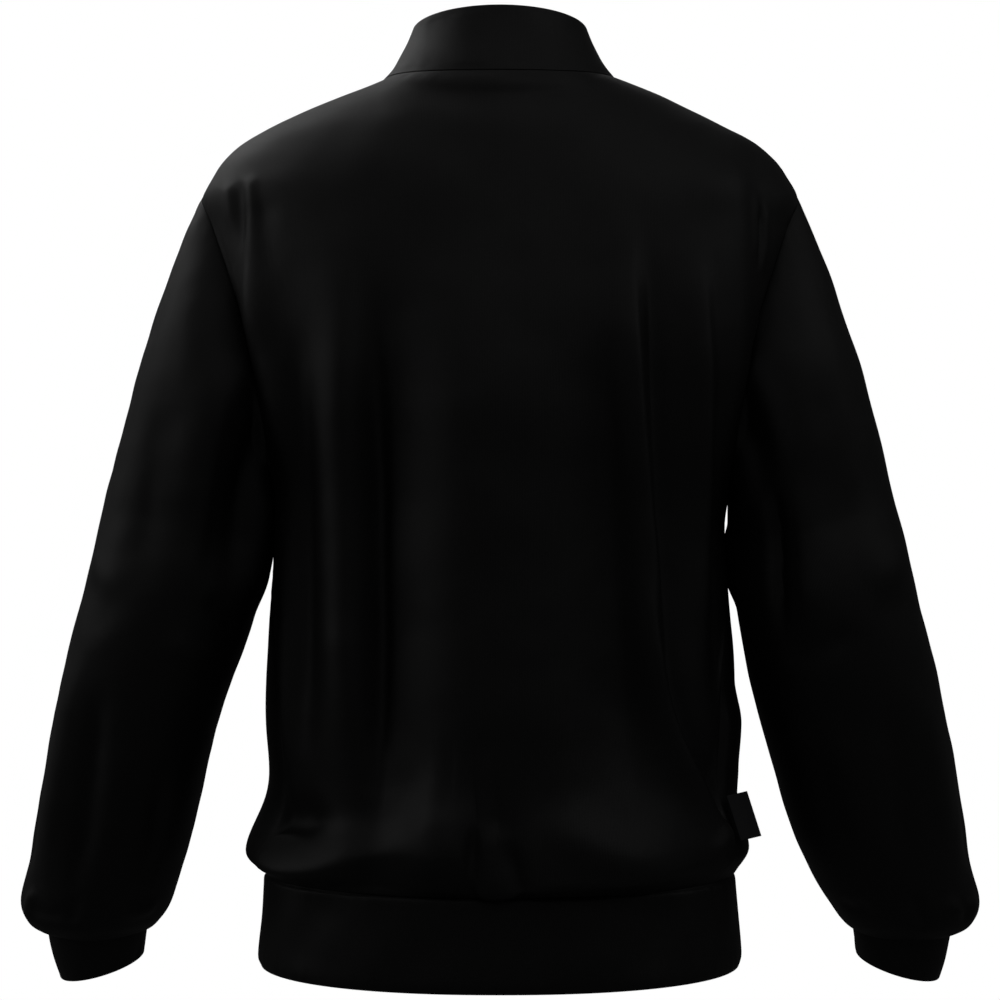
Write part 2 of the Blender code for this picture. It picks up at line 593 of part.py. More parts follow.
def add_cloth(name, points, normal, wall, surface, collection, closed=False, missing=()):
    """One cloth piece: the grid's surface, the same surface moved inwards by the wall, and rims."""
    rows, columns = points.shape[:2]
    outer = grid_faces(rows, columns, closed, missing)
    a, b, _, d = (points.reshape(-1, 3)[i] for i in outer[0])
    if np.cross(b - a, d - a) @ normal.reshape(-1, 3)[outer[0][0]] < 0:
        outer = [face[::-1] for face in outer]
    count = rows * columns
    inner = [tuple(i + count for i in face[::-1]) for face in outer]
    edges = {(face[i - 1], face[i]) for face in outer for i in range(4)}
    height = points.reshape(-1, 3)[:, 2]
    rims = []
    for a, b in sorted(edges):
        if (b, a) not in edges:
            # Both pieces at a seam split their rims along the same diagonal, from the upper outer corner.
            rim = (b, a, a + count, b + count)
            rims.append(rim if height[b] > height[a] else rim[1:] + rim[:1])
    vertices = np.concatenate([points.reshape(-1, 3), (points - wall * normal).reshape(-1, 3)])
    mesh = bpy.data.meshes.new(name)
    mesh.from_pydata(vertices.tolist(), [], outer + inner + rims)
    mesh.materials.append(surface)
    mesh.shade_smooth()
    mesh.set_sharp_from_angle(angle=np.radians(50))
    obj = bpy.data.objects.new(name, mesh)
    collection.objects.link(obj)
    return obj


def zip_edge(front, front_normal, collar, collar_normal):
    """The cloth beside the zip, row by row from below the slit to the collar's top edge.

    Each row holds the slit's left edge, the next column's point, both normals and how far behind the
    outer face a tape has to lie. The last number is the distance up the zip.
    """
    low, edge = LOW_ROWS + SLIT_ROW, HALF_COLUMNS + 1
    points = np.concatenate([front[low - 1 :, [edge, edge + 1]], collar[1:, [-1, -2]]])
    meeting = front_normal[-1, [edge, edge + 1]] + collar_normal[0, [-1, -2]]
    normal = np.concatenate(
        [front_normal[low - 1 : -1, [edge, edge + 1]], meeting[None], collar_normal[1:, [-1, -2]]]
    )
    depth = np.full(len(points), DOUBLE_CLOTH + SEAM_GAP + TAPE_CLEARANCE)
    depth[: HIGH_ROWS - SLIT_ROW + 1] = CLOTH + SEAM_GAP + TAPE_CLEARANCE
    steps = np.linalg.norm(np.diff(points[:, 0], axis=0), axis=1)
    distance = np.concatenate([[0], np.cumsum(steps)]) - steps[0]
    return points, normal, depth, distance


def zip_strip(edge, start, end, x_values, behind):
    """Points and normals of a strip along the zip, at each x, this far behind where the tapes lie."""
    points, normal, depth, distance = edge
    inside = distance[(distance > start + SAME_STATION) & (distance < end - SAME_STATION)]
    stations = np.concatenate([[start], inside, [end]])

    def at_stations(rows):
        return np.stack([np.interp(stations, distance, rows[:, k]) for k in range(3)], axis=-1)

    p0, p1 = at_stations(points[:, 0]), at_stations(points[:, 1])
    n0, n1 = at_stations(normal[:, 0]), at_stations(normal[:, 1])
    back = np.interp(stations, distance, depth) + behind
    made, faced = [], []
    for x in x_values:
        share = ((max(abs(x), SLIT_HALF_WIDTH) - p0[:, 0]) / (p1[:, 0] - p0[:, 0]))[:, None]
        point = p0 + share * (p1 - p0)
        face = n0 + share * (n1 - n0)
        if abs(x) < SLIT_HALF_WIDTH:
            face[:, 0] = 0
        face /= np.linalg.norm(face, axis=-1, keepdims=True)
        point = point - back[:, None] * face
        point[:, 0] = abs(x)
        hand = np.array([1 if x > 0 else -1, 1, 1])
        made.append(point * hand)
        faced.append(face * hand)
    return np.stack(made, axis=1), np.stack(faced, axis=1)


def zip_frame(edge, place):
    """Matrix with its origin on the chain's outer face, x to the wearer's right, y out, z up the zip."""
    chain, face = zip_strip(edge, place, place + FRAME_STEP, [FRAME_STEP / 2], CHAIN_BEHIND)
    up = Vector(chain[1, 0] - chain[0, 0]).normalized()
    outward = Vector((0, *face[0, 0, 1:]))
    outward = (outward - up * outward.dot(up)).normalized()
    across = outward.cross(up)
    matrix = Matrix((across, outward, up)).transposed().to_4x4()
    matrix.translation = (0, *chain[0, 0, 1:])
    return matrix


def add_box(name, low, high, surface, collection, matrix):
    """A box between two opposite corners given in the matrix's own axes."""
    bpy.ops.mesh.primitive_cube_add(size=1)
    obj = bpy.context.object
    obj.name = obj.data.name = name
    low, high = Vector(low), Vector(high)
    size = Matrix.Diagonal((*(high - low), 1))
    obj.data.transform(Matrix.Translation((low + high) / 2) @ size)
    return placed(obj, surface, collection, matrix)


def add_pin(name, radius, length, surface, collection, matrix):
    """A round pin along the matrix's x axis, centred on its origin."""
    bpy.ops.mesh.primitive_cylinder_add(vertices=16, radius=radius, depth=length)
    obj = bpy.context.object
    obj.name = obj.data.name = name
    obj.data.transform(Matrix.Rotation(np.pi / 2, 4, "Y"))
    return placed(obj, surface, collection, matrix)


def placed(obj, surface, collection, matrix):
    for old in obj.users_collection:
        old.objects.unlink(obj)
    collection.objects.link(obj)
    obj.data.materials.append(surface)
    obj.matrix_world = matrix
    return obj


def join(base, others):
    """The base takes the others by Boolean unions; they stay as hidden guides."""
    for other in others:
        other.hide_render = True
        other.display_type = "WIRE"
        union = base.modifiers.new(other.name, "BOOLEAN")
        union.operation = "UNION"
        union.object = other


def add_slider(surface, collection, cutters, matrix):
    """Two plates joined by the wedge, with the bridge for the tab on the front one."""
    half, front = SLIDER_WIDTH / 2, SEAM_GAP + SLIDER_PLATE
    back = CHAIN_THICKNESS + SEAM_GAP
    neck, top = NECK_WIDTH / 2, front + BRIDGE_HEIGHT
    arch, reach = BRIDGE_WIDTH / 2, BRIDGE_LENGTH / 2
    end = SLIDER_LENGTH / 2
    slider = add_box("zip_slider", (-half, SEAM_GAP, -end), (half, front, end), surface, collection, matrix)
    guides = [
        ("slider_back_plate", (-half, -back - SLIDER_PLATE, -end), (half, -back, end)),
        (
            "slider_wedge",
            (-neck, -back - OVERLAP, NECK_START),
            (neck, SEAM_GAP + OVERLAP, NECK_START + NECK_LENGTH),
        ),
        ("bridge_lower_leg", (-arch, front - OVERLAP, -reach), (arch, top, -reach + BRIDGE_BAR)),
        ("bridge_upper_leg", (-arch, front - OVERLAP, reach - BRIDGE_BAR), (arch, top, reach)),
        ("bridge_bar", (-arch, top - BRIDGE_BAR, -reach + OVERLAP), (arch, top, reach - OVERLAP)),
    ]
    join(slider, [add_box(name, low, high, surface, cutters, matrix) for name, low, high in guides])


def add_tab(surface, collection, cutters, matrix):
    """A flat tab with a slot at its top, whose cross pin lies under the bridge; its origin is the pin."""
    half, thick = TAB_WIDTH / 2, TAB_THICKNESS / 2
    inner, top, low = half - TAB_ARM_WIDTH, TAB_ARM_TOP, -TAB_SLOT_LENGTH
    tab = add_box("pull_tab", (-half, -thick, -TAB_LENGTH), (half, thick, low), surface, collection, matrix)
    arms = [
        ("tab_left_arm", (inner, -thick, low - OVERLAP), (half, thick, top)),
        ("tab_right_arm", (-half, -thick, low - OVERLAP), (-inner, thick, top)),
    ]
    guides = [add_box(name, start, end, surface, cutters, matrix) for name, start, end in arms]
    guides.append(add_pin("tab_pin", TAB_PIN_RADIUS, TAB_WIDTH - 2 * OVERLAP, surface, cutters, matrix))
    join(tab, guides)


def add_zip(edge, tape, metal, collection, cutters):
    top = edge[3][-1]
    slider_place = top - SLIDER_BELOW_TOP
    tape_inner = CHAIN_WIDTH / 2 + SEAM_GAP
    for side, hand in (("left", 1), ("right", -1)):
        x_values = sorted((hand * tape_inner, hand * (tape_inner + TAPE_WIDTH)))
        strip = zip_strip(edge, -TAPE_TAIL, top - TAPE_BELOW_TOP, x_values, 0.0)
        add_cloth(f"zip_tape_{side}", *strip, TAPE_THICKNESS, tape, collection)
        matrix = zip_frame(edge, slider_place + SLIDER_LENGTH / 2 + STOP_LENGTH)
        nearer, farther = sorted((-hand * STOP_INNER, -hand * (STOP_INNER + STOP_WIDTH)))
        low = (nearer, -STOP_SUNK, 0)
        high = (farther, STOP_THICKNESS - STOP_SUNK, STOP_LENGTH)
        add_box(f"zip_stop_top_{side}", low, high, metal, collection, matrix)
    half = CHAIN_WIDTH / 2
    chain_end = slider_place + NECK_START - SEAM_GAP
    strip = zip_strip(edge, CHAIN_START, chain_end, [-half, half], CHAIN_BEHIND)
    add_cloth("zip_chain", *strip, CHAIN_THICKNESS, tape, collection)
    matrix = zip_frame(edge, CHAIN_START - SEAM_GAP - STOP_LENGTH)
    half = STOP_INNER + STOP_WIDTH
    corner = (half, STOP_THICKNESS - STOP_SUNK, STOP_LENGTH)
    add_box("zip_stop_bottom", (-half, -STOP_SUNK, 0), corner, metal, collection, matrix)
    matrix = zip_frame(edge, slider_place)
    add_slider(metal, collection, cutters, matrix)
    axis = SEAM_GAP + SLIDER_PLATE + TAB_PIN_HEIGHT
    hinge = matrix @ Matrix.Translation((0, axis, 0)) @ Matrix.Rotation(TAB_TILT, 4, "X")
    add_tab(metal, collection, cutters, hinge)


def add_label(surface, collection):
    """The blank label, a flag that stands straight out of the right side seam."""
    z = np.array([LABEL_BOTTOM_Z, LABEL_TOP_Z])
    normal = side_seam_normal(z, -1)
    seam = body(-(np.pi / 2 - side_seam(z)), z, 1) + LABEL_OFF_SEAM * normal
    run = np.array(LABEL_RUN)
    points = np.stack([seam, seam + LABEL_WIDTH * run], axis=1)
    face = np.cross(seam[1] - seam[0], run)
    face = np.tile(face / np.linalg.norm(face), (2, 2, 1))
    add_cloth("side_label", points + LABEL_THICKNESS / 2 * face, face, LABEL_THICKNESS, surface, collection)


def main():
    for old in list(bpy.data.objects):
        bpy.data.objects.remove(old)
    collection = bpy.data.collections.new("half_zip_sweatshirt")
    cutters = bpy.data.collections.new("guides")
    bpy.context.scene.collection.children.link(collection)
    bpy.context.scene.collection.children.link(cutters)
    cloth = material("black_fleece_back_jersey", CLOTH_COLOUR, 0.85)

    add_cloth("back_panel", *panel_points(1), CLOTH, cloth, collection)
    slit = [(row, HALF_COLUMNS) for row in range(LOW_ROWS + SLIT_ROW, LOW_ROWS + HIGH_ROWS)]
    front = panel_points(-1)
    add_cloth("front_panel", *front, CLOTH, cloth, collection, missing=slit)

    around = np.pi * np.arange(2 * HIGH_ROWS) / HIGH_ROWS
    cuff = ring_points(CUFF, CUFF_ROWS, around)
    for side, mirror in (("left", 1), ("right", -1)):
        flip = np.array([mirror, 1, 1])
        sleeve = sleeve_points(fuller=mirror < 0)
        for name, points, wall in (("sleeve", sleeve, CLOTH), ("cuff", cuff, DOUBLE_CLOTH)):
            normal = tube_normals(points) * flip
            add_cloth(f"{name}_{side}", points * flip, normal, wall, cloth, collection, closed=True)

    turn = np.radians(np.arange(0, 360, 360 / BAND_COLUMNS))
    band = ring_points(BAND, BAND_ROWS, turn, power=SECTIONS[0].back_power)
    add_cloth("hem_band", band, tube_normals(band), DOUBLE_CLOTH, cloth, collection, closed=True)

    collar = collar_points()
    collar_normal = normals(collar, -1)
    add_cloth("collar", collar, collar_normal, DOUBLE_CLOTH, cloth, collection)

    tape = material("black_zip_tape", ZIP_COLOUR, 0.7)
    metal = material("black_zip_metal", ZIP_COLOUR, 0.35, metallic=0.8)
    add_zip(zip_edge(*front, collar, collar_normal), tape, metal, collection, cutters)
    add_label(material("black_woven_label", LABEL_COLOUR, 0.6), collection)


main()
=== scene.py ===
"""A black half-zip sweatshirt, filled out as when worn, with nobody inside.

Metres, +Z up, +Y towards the wearer's back, +X towards the wearer's left. The sections follow the order
in which the garment is cut and sewn: body, sleeves, collar, hem band, cuffs, zip, label.
"""

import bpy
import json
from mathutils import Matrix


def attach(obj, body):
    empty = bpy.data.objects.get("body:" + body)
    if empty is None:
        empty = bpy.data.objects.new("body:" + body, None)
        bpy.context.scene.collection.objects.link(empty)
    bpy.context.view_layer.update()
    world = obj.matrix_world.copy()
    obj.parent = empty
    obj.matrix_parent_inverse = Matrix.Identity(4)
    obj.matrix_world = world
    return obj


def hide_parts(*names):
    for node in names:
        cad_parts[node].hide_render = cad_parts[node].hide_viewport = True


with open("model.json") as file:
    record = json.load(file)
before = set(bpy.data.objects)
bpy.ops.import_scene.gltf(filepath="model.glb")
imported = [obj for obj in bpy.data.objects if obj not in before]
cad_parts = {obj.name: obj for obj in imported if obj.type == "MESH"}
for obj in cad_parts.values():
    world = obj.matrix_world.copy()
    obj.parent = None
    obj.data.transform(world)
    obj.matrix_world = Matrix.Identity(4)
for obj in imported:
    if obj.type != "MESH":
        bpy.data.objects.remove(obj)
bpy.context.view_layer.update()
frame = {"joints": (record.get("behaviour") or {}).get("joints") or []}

import json
from collections import namedtuple

import bpy
import numpy as np
from mathutils import Vector

# ---- Back panel ----
# One piece of brushed-back cotton jersey, knitted on a fine gauge, cut from the neck to the hem seam. It
# hangs from the shoulders in long soft folds and blouses over the band.
CLOTH_WALL = 0.0016
RIM_ROUNDING = 0.0005
RIM_SEGMENTS = 2
RIM_CORNER = 55  # degrees, from which an edge is a rim
SEAM_GAP = 0.0003
HEM_SEAM_Z = -0.636
UNDERARM_Z = -0.330
SHOULDER_Z = -0.092
NECK_HALF_WIDTH = 0.094
NECK_BACK_Z = -0.0055
NECK_FRONT_Z = -0.055
NECK_FRONT_POWER = 1.6  # how flat the front neckline's bottom is
ARMHOLE_HALF_DEPTH = 0.058
ARMHOLE_FULLER_BELOW = 0.15
UNDERARM_DIP = 0.070  # how far the underarm row sags between the side seams
SIDE_SEAM_TURN = 0.42  # radians behind the body's side line, at the hem
SIDE_SEAM_START = 0.02  # below the underarm
SIDE_SEAM_RUN = 0.15
SLIT_HALF_WIDTH = 0.0045
NECK_SHARE = 5 / 12  # of a panel's half width, at its top edge
SLIT_SHARE = 3 / 11  # of the rows above the underarm, below the slit's end
COLUMNS_ACROSS = 108
ROWS_LOW = 80
ROWS_HIGH = 88
CROWDED_LOW = 1.35  # powers by which the rows crowd towards the hem and towards the neck
CROWDED_HIGH = 1.6
ROWS_BEND = 4  # power of the way out with which the rows bend towards their ends
TOP_RISE = 3  # power of a sine with which they take on the upper edge
TAPER_FADE = 3
BLOUSE_POWER = 1.5
EDGE_STEPS = 400
CREASE_STEPS = 15
CREASE_ENDS = 3.2  # reaches away, where a crease is too faint to count
SWELL_WAVES = 12
SWELL_LENGTHS = (0.7, 1.6)  # shares of the wanted size between which the waves' lengths lie
SWELL_SIZE = 3.5  # about how high that many waves reach together
RIPPLE_LENGTH = 0.011
RIPPLE_START = 0.002  # from the seam


def table(kind, *rows):
    """Rows of a table, each with its values named as this kind names them."""
    return [kind(*row) for row in rows]


Side = namedtuple("Side", "z half_width")
SIDE_LINE = table(
    Side,
    (-0.640, 0.1895),
    (-0.600, 0.1870),
    (-0.560, 0.1855),
    (-0.520, 0.1885),
    (-0.480, 0.1888),
    (-0.430, 0.1850),
    (-0.390, 0.1826),
    (-0.360, 0.1812),
    (-0.330, 0.1835),
    (-0.290, 0.1945),
    (-0.250, 0.2055),
    (-0.200, 0.2180),
    (-0.150, 0.2300),
    (-0.120, 0.2360),
    (-0.092, 0.2400),
    (-0.079, 0.2331),
    (-0.063, 0.2222),
    (-0.047, 0.2024),
    (-0.030, 0.1677),
    (-0.014, 0.1306),
    (-0.006, 0.1100),
    (0.000, 0.0940),
    (0.004, 0.0850),
)
Section = namedtuple("Section", "z back front centre_y back_power front_power")
SECTIONS = table(
    Section,
    (-0.640, 0.1300, 0.1300, -0.006, 2.2, 2.2),
    (-0.560, 0.1260, 0.1240, -0.005, 2.2, 2.2),
    (-0.480, 0.1220, 0.1210, -0.003, 2.3, 2.3),
    (-0.400, 0.1185, 0.1200, -0.001, 2.4, 2.4),
    (-0.330, 0.1185, 0.1250, 0.000, 2.6, 2.5),
    (-0.260, 0.1210, 0.1320, -0.001, 2.9, 2.6),
    (-0.200, 0.1210, 0.1330, -0.003, 3.0, 2.6),
    (-0.150, 0.1190, 0.1340, -0.006, 2.8, 2.4),
    (-0.092, 0.1140, 0.1260, -0.008, 2.2, 2.0),
    (-0.047, 0.1040, 0.1070, -0.007, 1.6, 1.7),
    (-0.014, 0.0905, 0.0925, -0.005, 1.6, 1.7),
    (0.000, 0.0800, 0.0840, -0.004, 2.0, 2.0),
    (0.004, 0.0770, 0.0810, -0.004, 2.0, 2.0),
)
# How the body swells over the band at each angle round it (0 the wearer's left side, 90 the back), the
# height of the swell's crest over the hem seam, how far the crest droops back down over the band, and
# how far the swell reaches up from the crest, in crest heights.
Blouse = namedtuple("Blouse", "angle bulge crest droop spread")
BLOUSE = table(
    Blouse,
    (-180, 0.012, 0.028, 0.006, 1.1),
    (-165, 0.014, 0.026, 0.007, 1.0),
    (-150, 0.019, 0.025, 0.009, 0.7),
    (-132, 0.016, 0.034, 0.004, 1.2),
    (-118, 0.018, 0.042, 0.001, 1.1),
    (-104, 0.014, 0.020, 0.001, 2.4),
    (-88, 0.018, 0.022, 0.004, 2.2),
    (-72, 0.020, 0.027, 0.004, 1.8),
    (-58, 0.020, 0.038, 0.003, 1.0),
    (-42, 0.019, 0.028, 0.008, 0.7),
    (-25, 0.013, 0.024, 0.004, 1.1),
    (-10, 0.015, 0.025, 0.006, 1.1),
    (4, 0.018, 0.028, 0.009, 0.9),
    (16, 0.021, 0.026, 0.010, 0.7),
    (27, 0.023, 0.024, 0.011, 0.65),
    (38, 0.021, 0.026, 0.009, 0.7),
    (48, 0.017, 0.030, 0.003, 0.8),
    (60, 0.017, 0.034, 0.000, 0.9),
    (70, 0.021, 0.034, 0.000, 1.3),
    (77, 0.019, 0.030, 0.000, 1.5),
    (82, 0.013, 0.014, 0.000, 3.2),
    (87, 0.010, 0.005, 0.000, 9.0),
    (93, 0.010, 0.004, 0.000, 11.0),
    (101, 0.014, 0.009, 0.000, 5.5),
    (112, 0.020, 0.013, 0.001, 4.2),
    (124, 0.022, 0.016, 0.003, 3.4),
    (138, 0.019, 0.022, 0.004, 2.4),
    (150, 0.014, 0.026, 0.004, 1.6),
    (164, 0.016, 0.028, 0.006, 1.1),
    (180, 0.012, 0.028, 0.006, 1.1),
)
# Creases: a line through three points, the reach of its flank towards +X and towards -X (or above and
# below, where it runs across), and its height. A negative height is a trough.
Crease = namedtuple("Crease", "x1 z1 x2 z2 x3 z3 plus minus height")
BACK_CREASES = table(
    Crease,
    (0.018, -0.080, 0.018, -0.380, 0.016, -0.680, 0.044, 0.080, 0.0170),
    (0.092, -0.120, 0.090, -0.380, 0.088, -0.640, 0.020, 0.032, -0.0120),
    (0.100, -0.170, 0.0965, -0.390, 0.0950, -0.610, 0.008, 0.010, -0.0070),
    (0.118, -0.110, 0.116, -0.360, 0.112, -0.600, 0.024, 0.012, 0.0105),
    (0.156, -0.190, 0.154, -0.360, 0.152, -0.590, 0.012, 0.014, -0.0110),
    (0.173, -0.300, 0.170, -0.430, 0.167, -0.590, 0.007, 0.008, 0.0040),
    (-0.078, -0.170, -0.085, -0.400, -0.108, -0.600, 0.034, 0.016, -0.0120),
    (-0.098, -0.110, -0.107, -0.320, -0.130, -0.520, 0.018, 0.007, 0.0125),
    (-0.106, -0.370, -0.1285, -0.506, -0.196, -0.626, 0.015, 0.006, 0.0105),
    (-0.114, -0.130, -0.120, -0.320, -0.142, -0.520, 0.004, 0.014, -0.0080),
    (-0.118, -0.380, -0.1410, -0.510, -0.206, -0.626, 0.004, 0.012, -0.0080),
    (-0.150, -0.130, -0.154, -0.290, -0.160, -0.500, 0.013, 0.007, 0.0085),
    (-0.166, -0.200, -0.167, -0.360, -0.171, -0.520, 0.006, 0.008, -0.0060),
    (0.090, -0.012, 0.000, -0.0245, -0.090, -0.012, 0.007, 0.016, -0.0040),
    (0.130, -0.056, 0.070, -0.085, -0.020, -0.105, 0.020, 0.030, 0.0020),
    (0.2135, -0.086, 0.2130, -0.104, 0.2090, -0.132, 0.005, 0.004, 0.0018),
    (0.2040, -0.088, 0.2020, -0.112, 0.1980, -0.160, 0.005, 0.005, -0.0028),
    (0.1940, -0.082, 0.1930, -0.104, 0.1880, -0.150, 0.006, 0.005, 0.0020),
    (0.1830, -0.100, 0.1820, -0.130, 0.1760, -0.180, 0.007, 0.010, -0.0018),
    (0.1960, -0.130, 0.1850, -0.220, 0.1680, -0.330, 0.010, 0.013, 0.0060),
    (0.1960, -0.112, 0.1900, -0.165, 0.1800, -0.230, 0.007, 0.018, 0.0050),
    (-0.1970, -0.095, -0.1985, -0.125, -0.1990, -0.155, 0.004, 0.003, 0.0020),
    (-0.2070, -0.100, -0.2060, -0.130, -0.2030, -0.165, 0.003, 0.004, 0.0026),
    (-0.2022, -0.105, -0.2022, -0.130, -0.2010, -0.160, 0.003, 0.003, -0.0030),
    (0.200, -0.575, 0.165, -0.588, 0.124, -0.574, 0.018, 0.008, -0.0080),
    (0.101, -0.560, 0.098, -0.602, 0.092, -0.645, 0.014, 0.024, -0.0050),
    (0.050, -0.565, 0.046, -0.592, 0.042, -0.622, 0.018, 0.014, 0.0034),
    (-0.172, -0.040, -0.180, -0.160, -0.168, -0.380, 0.040, 0.016, 0.0085),
    (0.0230, -0.580, 0.0220, -0.612, 0.0205, -0.645, 0.006, 0.005, -0.0045),
    (0.0060, -0.575, 0.0060, -0.608, 0.0040, -0.645, 0.012, 0.010, 0.0030),
    (-0.0060, -0.590, -0.0130, -0.618, -0.0200, -0.645, 0.006, 0.007, -0.0036),
    (-0.024, -0.572, -0.080, -0.600, -0.140, -0.615, 0.016, 0.016, 0.0045),
    (-0.190, -0.570, -0.176, -0.600, -0.160, -0.612, 0.008, 0.006, 0.0030),
)


def column(rows, name):
    return np.array([getattr(row, name) for row in rows])


def hermite(start, start_slope, end, end_slope, share):
    """Cubic from start to end that leaves and arrives with the given slopes."""
    s2, s3 = share**2, share**3
    return (
        (2 * s3 - 3 * s2 + 1) * start
        + (s3 - 2 * s2 + share) * start_slope
        + (3 * s2 - 2 * s3) * end
        + (s3 - s2) * end_slope
    )


def smooth(rows, name, at, key="z"):
    """A table's column at any key value: cubic pieces that leave each row with its neighbours' slope."""
    knots, values = column(rows, key), column(rows, name)
    slopes = np.gradient(values, knots)
    piece = np.clip(np.searchsorted(knots, at) - 1, 0, len(knots) - 2)
    span = knots[piece + 1] - knots[piece]
    share = np.clip((at - knots[piece]) / span, 0, 1)
    return hermite(values[piece], slopes[piece] * span, values[piece + 1], slopes[piece + 1] * span, share)


def eased(share):
    """Rises from 0 to 1 as the share does, level at both ends: 3 s^2 - 2 s^3."""
    share = np.clip(share, 0, 1)
    return share * share * (3 - 2 * share)


def half_width(z):
    return smooth(SIDE_LINE, "half_width", z)


def half_section(z, side):
    """Depth and curve power of the body's back half (side 1) or front half (side -1) at z."""
    back, front = (
        [smooth(SECTIONS, name, z) for name in names]
        for names in (("back", "back_power"), ("front", "front_power"))
    )
    return (np.where(side > 0, *pair) for pair in zip(back, front))


def torso(x, z, side):
    """Point of the body at x and z, on its back (side 1) or front (side -1).

    y leaves the centre line by depth * sqrt(1 - |x / half_width| ** power).
    """
    depth, power = half_section(z, side)
    share = np.clip(np.abs(x) / half_width(z), 0, 1)
    y = smooth(SECTIONS, "centre_y", z) + side * depth * np.sqrt(1 - share**power)
    return np.stack([x, y, z], axis=-1)


def bloused(points):
    """Points moved outwards over the band: a power curve up to the crest, then a bell that fades upwards.

    The swollen part also sinks by its droop, most at the crest, so that it hangs over the seam.
    """
    x, y, z = np.moveaxis(points, -1, 0)
    angle = np.degrees(np.arctan2(y - smooth(SECTIONS, "centre_y", z), x))
    bulge, crest, droop, spread = (smooth(BLOUSE, name, angle, "angle") for name in Blouse._fields[1:])
    height = (z - HEM_SEAM_Z) / crest
    rise = 1 - (1 - np.clip(height, 0, 1)) ** BLOUSE_POWER
    fade = np.exp(-((np.clip(height - 1, 0, None) / spread) ** 2))
    swell = bulge * rise * fade
    flat = np.radians(angle)
    return points + np.stack([swell * np.cos(flat), swell * np.sin(flat), -droop * rise**2 * fade], axis=-1)


def side_seam(z):
    """How far behind the body's side line, in radians round it, the side seam lies at this height."""
    return SIDE_SEAM_TURN * eased((UNDERARM_Z - SIDE_SEAM_START - z) / SIDE_SEAM_RUN)


def armhole(turn, side):
    """x and z of the armhole edge: turn 0 is the underarm, 1 the shoulder, round the back or front.

    Its height follows a cosine and its depth a sine that is fuller below; x is where the body is.
    """
    angle = np.pi * turn
    z = (UNDERARM_Z + SHOULDER_Z) / 2 - (SHOULDER_Z - UNDERARM_Z) / 2 * np.cos(angle)
    reach = ARMHOLE_HALF_DEPTH * np.sin(angle) * (1 + ARMHOLE_FULLER_BELOW * np.cos(angle))
    depth, power = half_section(z, side)
    return half_width(z) * (1 - (reach / depth) ** 2) ** (1 / power), z


def neckline_z(x, side):
    """Height of the neck seam: a rounded dip from the shoulder seams, deeper at the front."""
    drop, power = (NECK_BACK_Z, 1.0) if side > 0 else (NECK_FRONT_Z, NECK_FRONT_POWER)
    return drop * np.clip(1 - (x / NECK_HALF_WIDTH) ** 2, 0, 1) ** power


def top_edge(share, side):
    """x and z of a panel's upper edge at this share of the way out: neck seam, then shoulder seam.

    On the front the inner end starts at the zip's slit instead of the middle.
    """
    x_neck = NECK_HALF_WIDTH * np.sin(np.pi / 2 * np.clip(share / NECK_SHARE, 0, 1)) + at_slit(share, side)
    out = np.clip((share - NECK_SHARE) / (1 - NECK_SHARE), 0, 1)
    heights = np.linspace(SHOULDER_Z, 0, EDGE_STEPS)
    widths = half_width(heights)
    x_shoulder = NECK_HALF_WIDTH + (widths[0] - NECK_HALF_WIDTH) * np.sin(np.pi / 2 * out)
    z_shoulder = np.interp(x_shoulder, widths[::-1], heights[::-1])
    on_neck = share < NECK_SHARE
    x = np.where(on_neck, x_neck, x_shoulder)
    return x, np.where(on_neck, neckline_z(x_neck, side), z_shoulder)


def at_slit(share, side):
    """How far outwards the front's columns make room for the slit: a square that ends at the neck's."""
    return (side < 0) * SLIT_HALF_WIDTH * np.clip(1 - share / NECK_SHARE, 0, 1) ** 2


def facing(points, towards, closed=False):
    """Unit normals of a grid from its differences along rows and columns, turned by a sign."""
    if closed:
        across = np.roll(points, -1, axis=1) - np.roll(points, 1, axis=1)
    else:
        across = np.gradient(points, axis=1)
    normal = np.cross(across, np.gradient(points, axis=0))
    return towards * normal / np.linalg.norm(normal, axis=-1, keepdims=True)


def creased(x, z, creases):
    """Height of all the creases at x and z.

    Each is a parabola through three points, cut into short chords. Its height falls off from the
    nearest chord as a bell, with one reach on its plus side and another on its minus side, and it
    fades in and out over the first and last third of its length.
    """
    lift = np.zeros_like(x)
    steps = np.linspace(0, 1, CREASE_STEPS)
    bow = 4 * steps * (1 - steps)
    for x1, z1, x2, z2, x3, z3, plus, minus, height in creases:
        path_x = x1 + (x3 - x1) * steps + (x2 - (x1 + x3) / 2) * bow
        path_z = z1 + (z3 - z1) * steps + (z2 - (z1 + z3) / 2) * bow
        reach = CREASE_ENDS * max(plus, minus)
        near = (x > path_x.min() - reach) & (x < path_x.max() + reach)
        near &= (z > path_z.min() - reach) & (z < path_z.max() + reach)
        if not near.any():
            continue
        dx = x[near][:, None] - path_x[:-1]
        dz = z[near][:, None] - path_z[:-1]
        run_x, run_z = np.diff(path_x), np.diff(path_z)
        along = np.clip((dx * run_x + dz * run_z) / (run_x**2 + run_z**2), 0, 1)
        off_x, off_z = dx - along * run_x, dz - along * run_z
        distance = np.hypot(off_x, off_z)
        best = distance.argmin(axis=1)
        pick = np.arange(len(best)), best
        steep = np.abs(z3 - z1) > np.abs(x3 - x1)
        positive = (off_x if steep else off_z)[pick] > 0
        share = (best + along[pick]) / (len(steps) - 1)
        bell = np.exp(-((distance[pick] / np.where(positive, plus, minus)) ** 2))
        lift[near] += height * bell * eased(3 * np.minimum(share, 1 - share))
    return lift


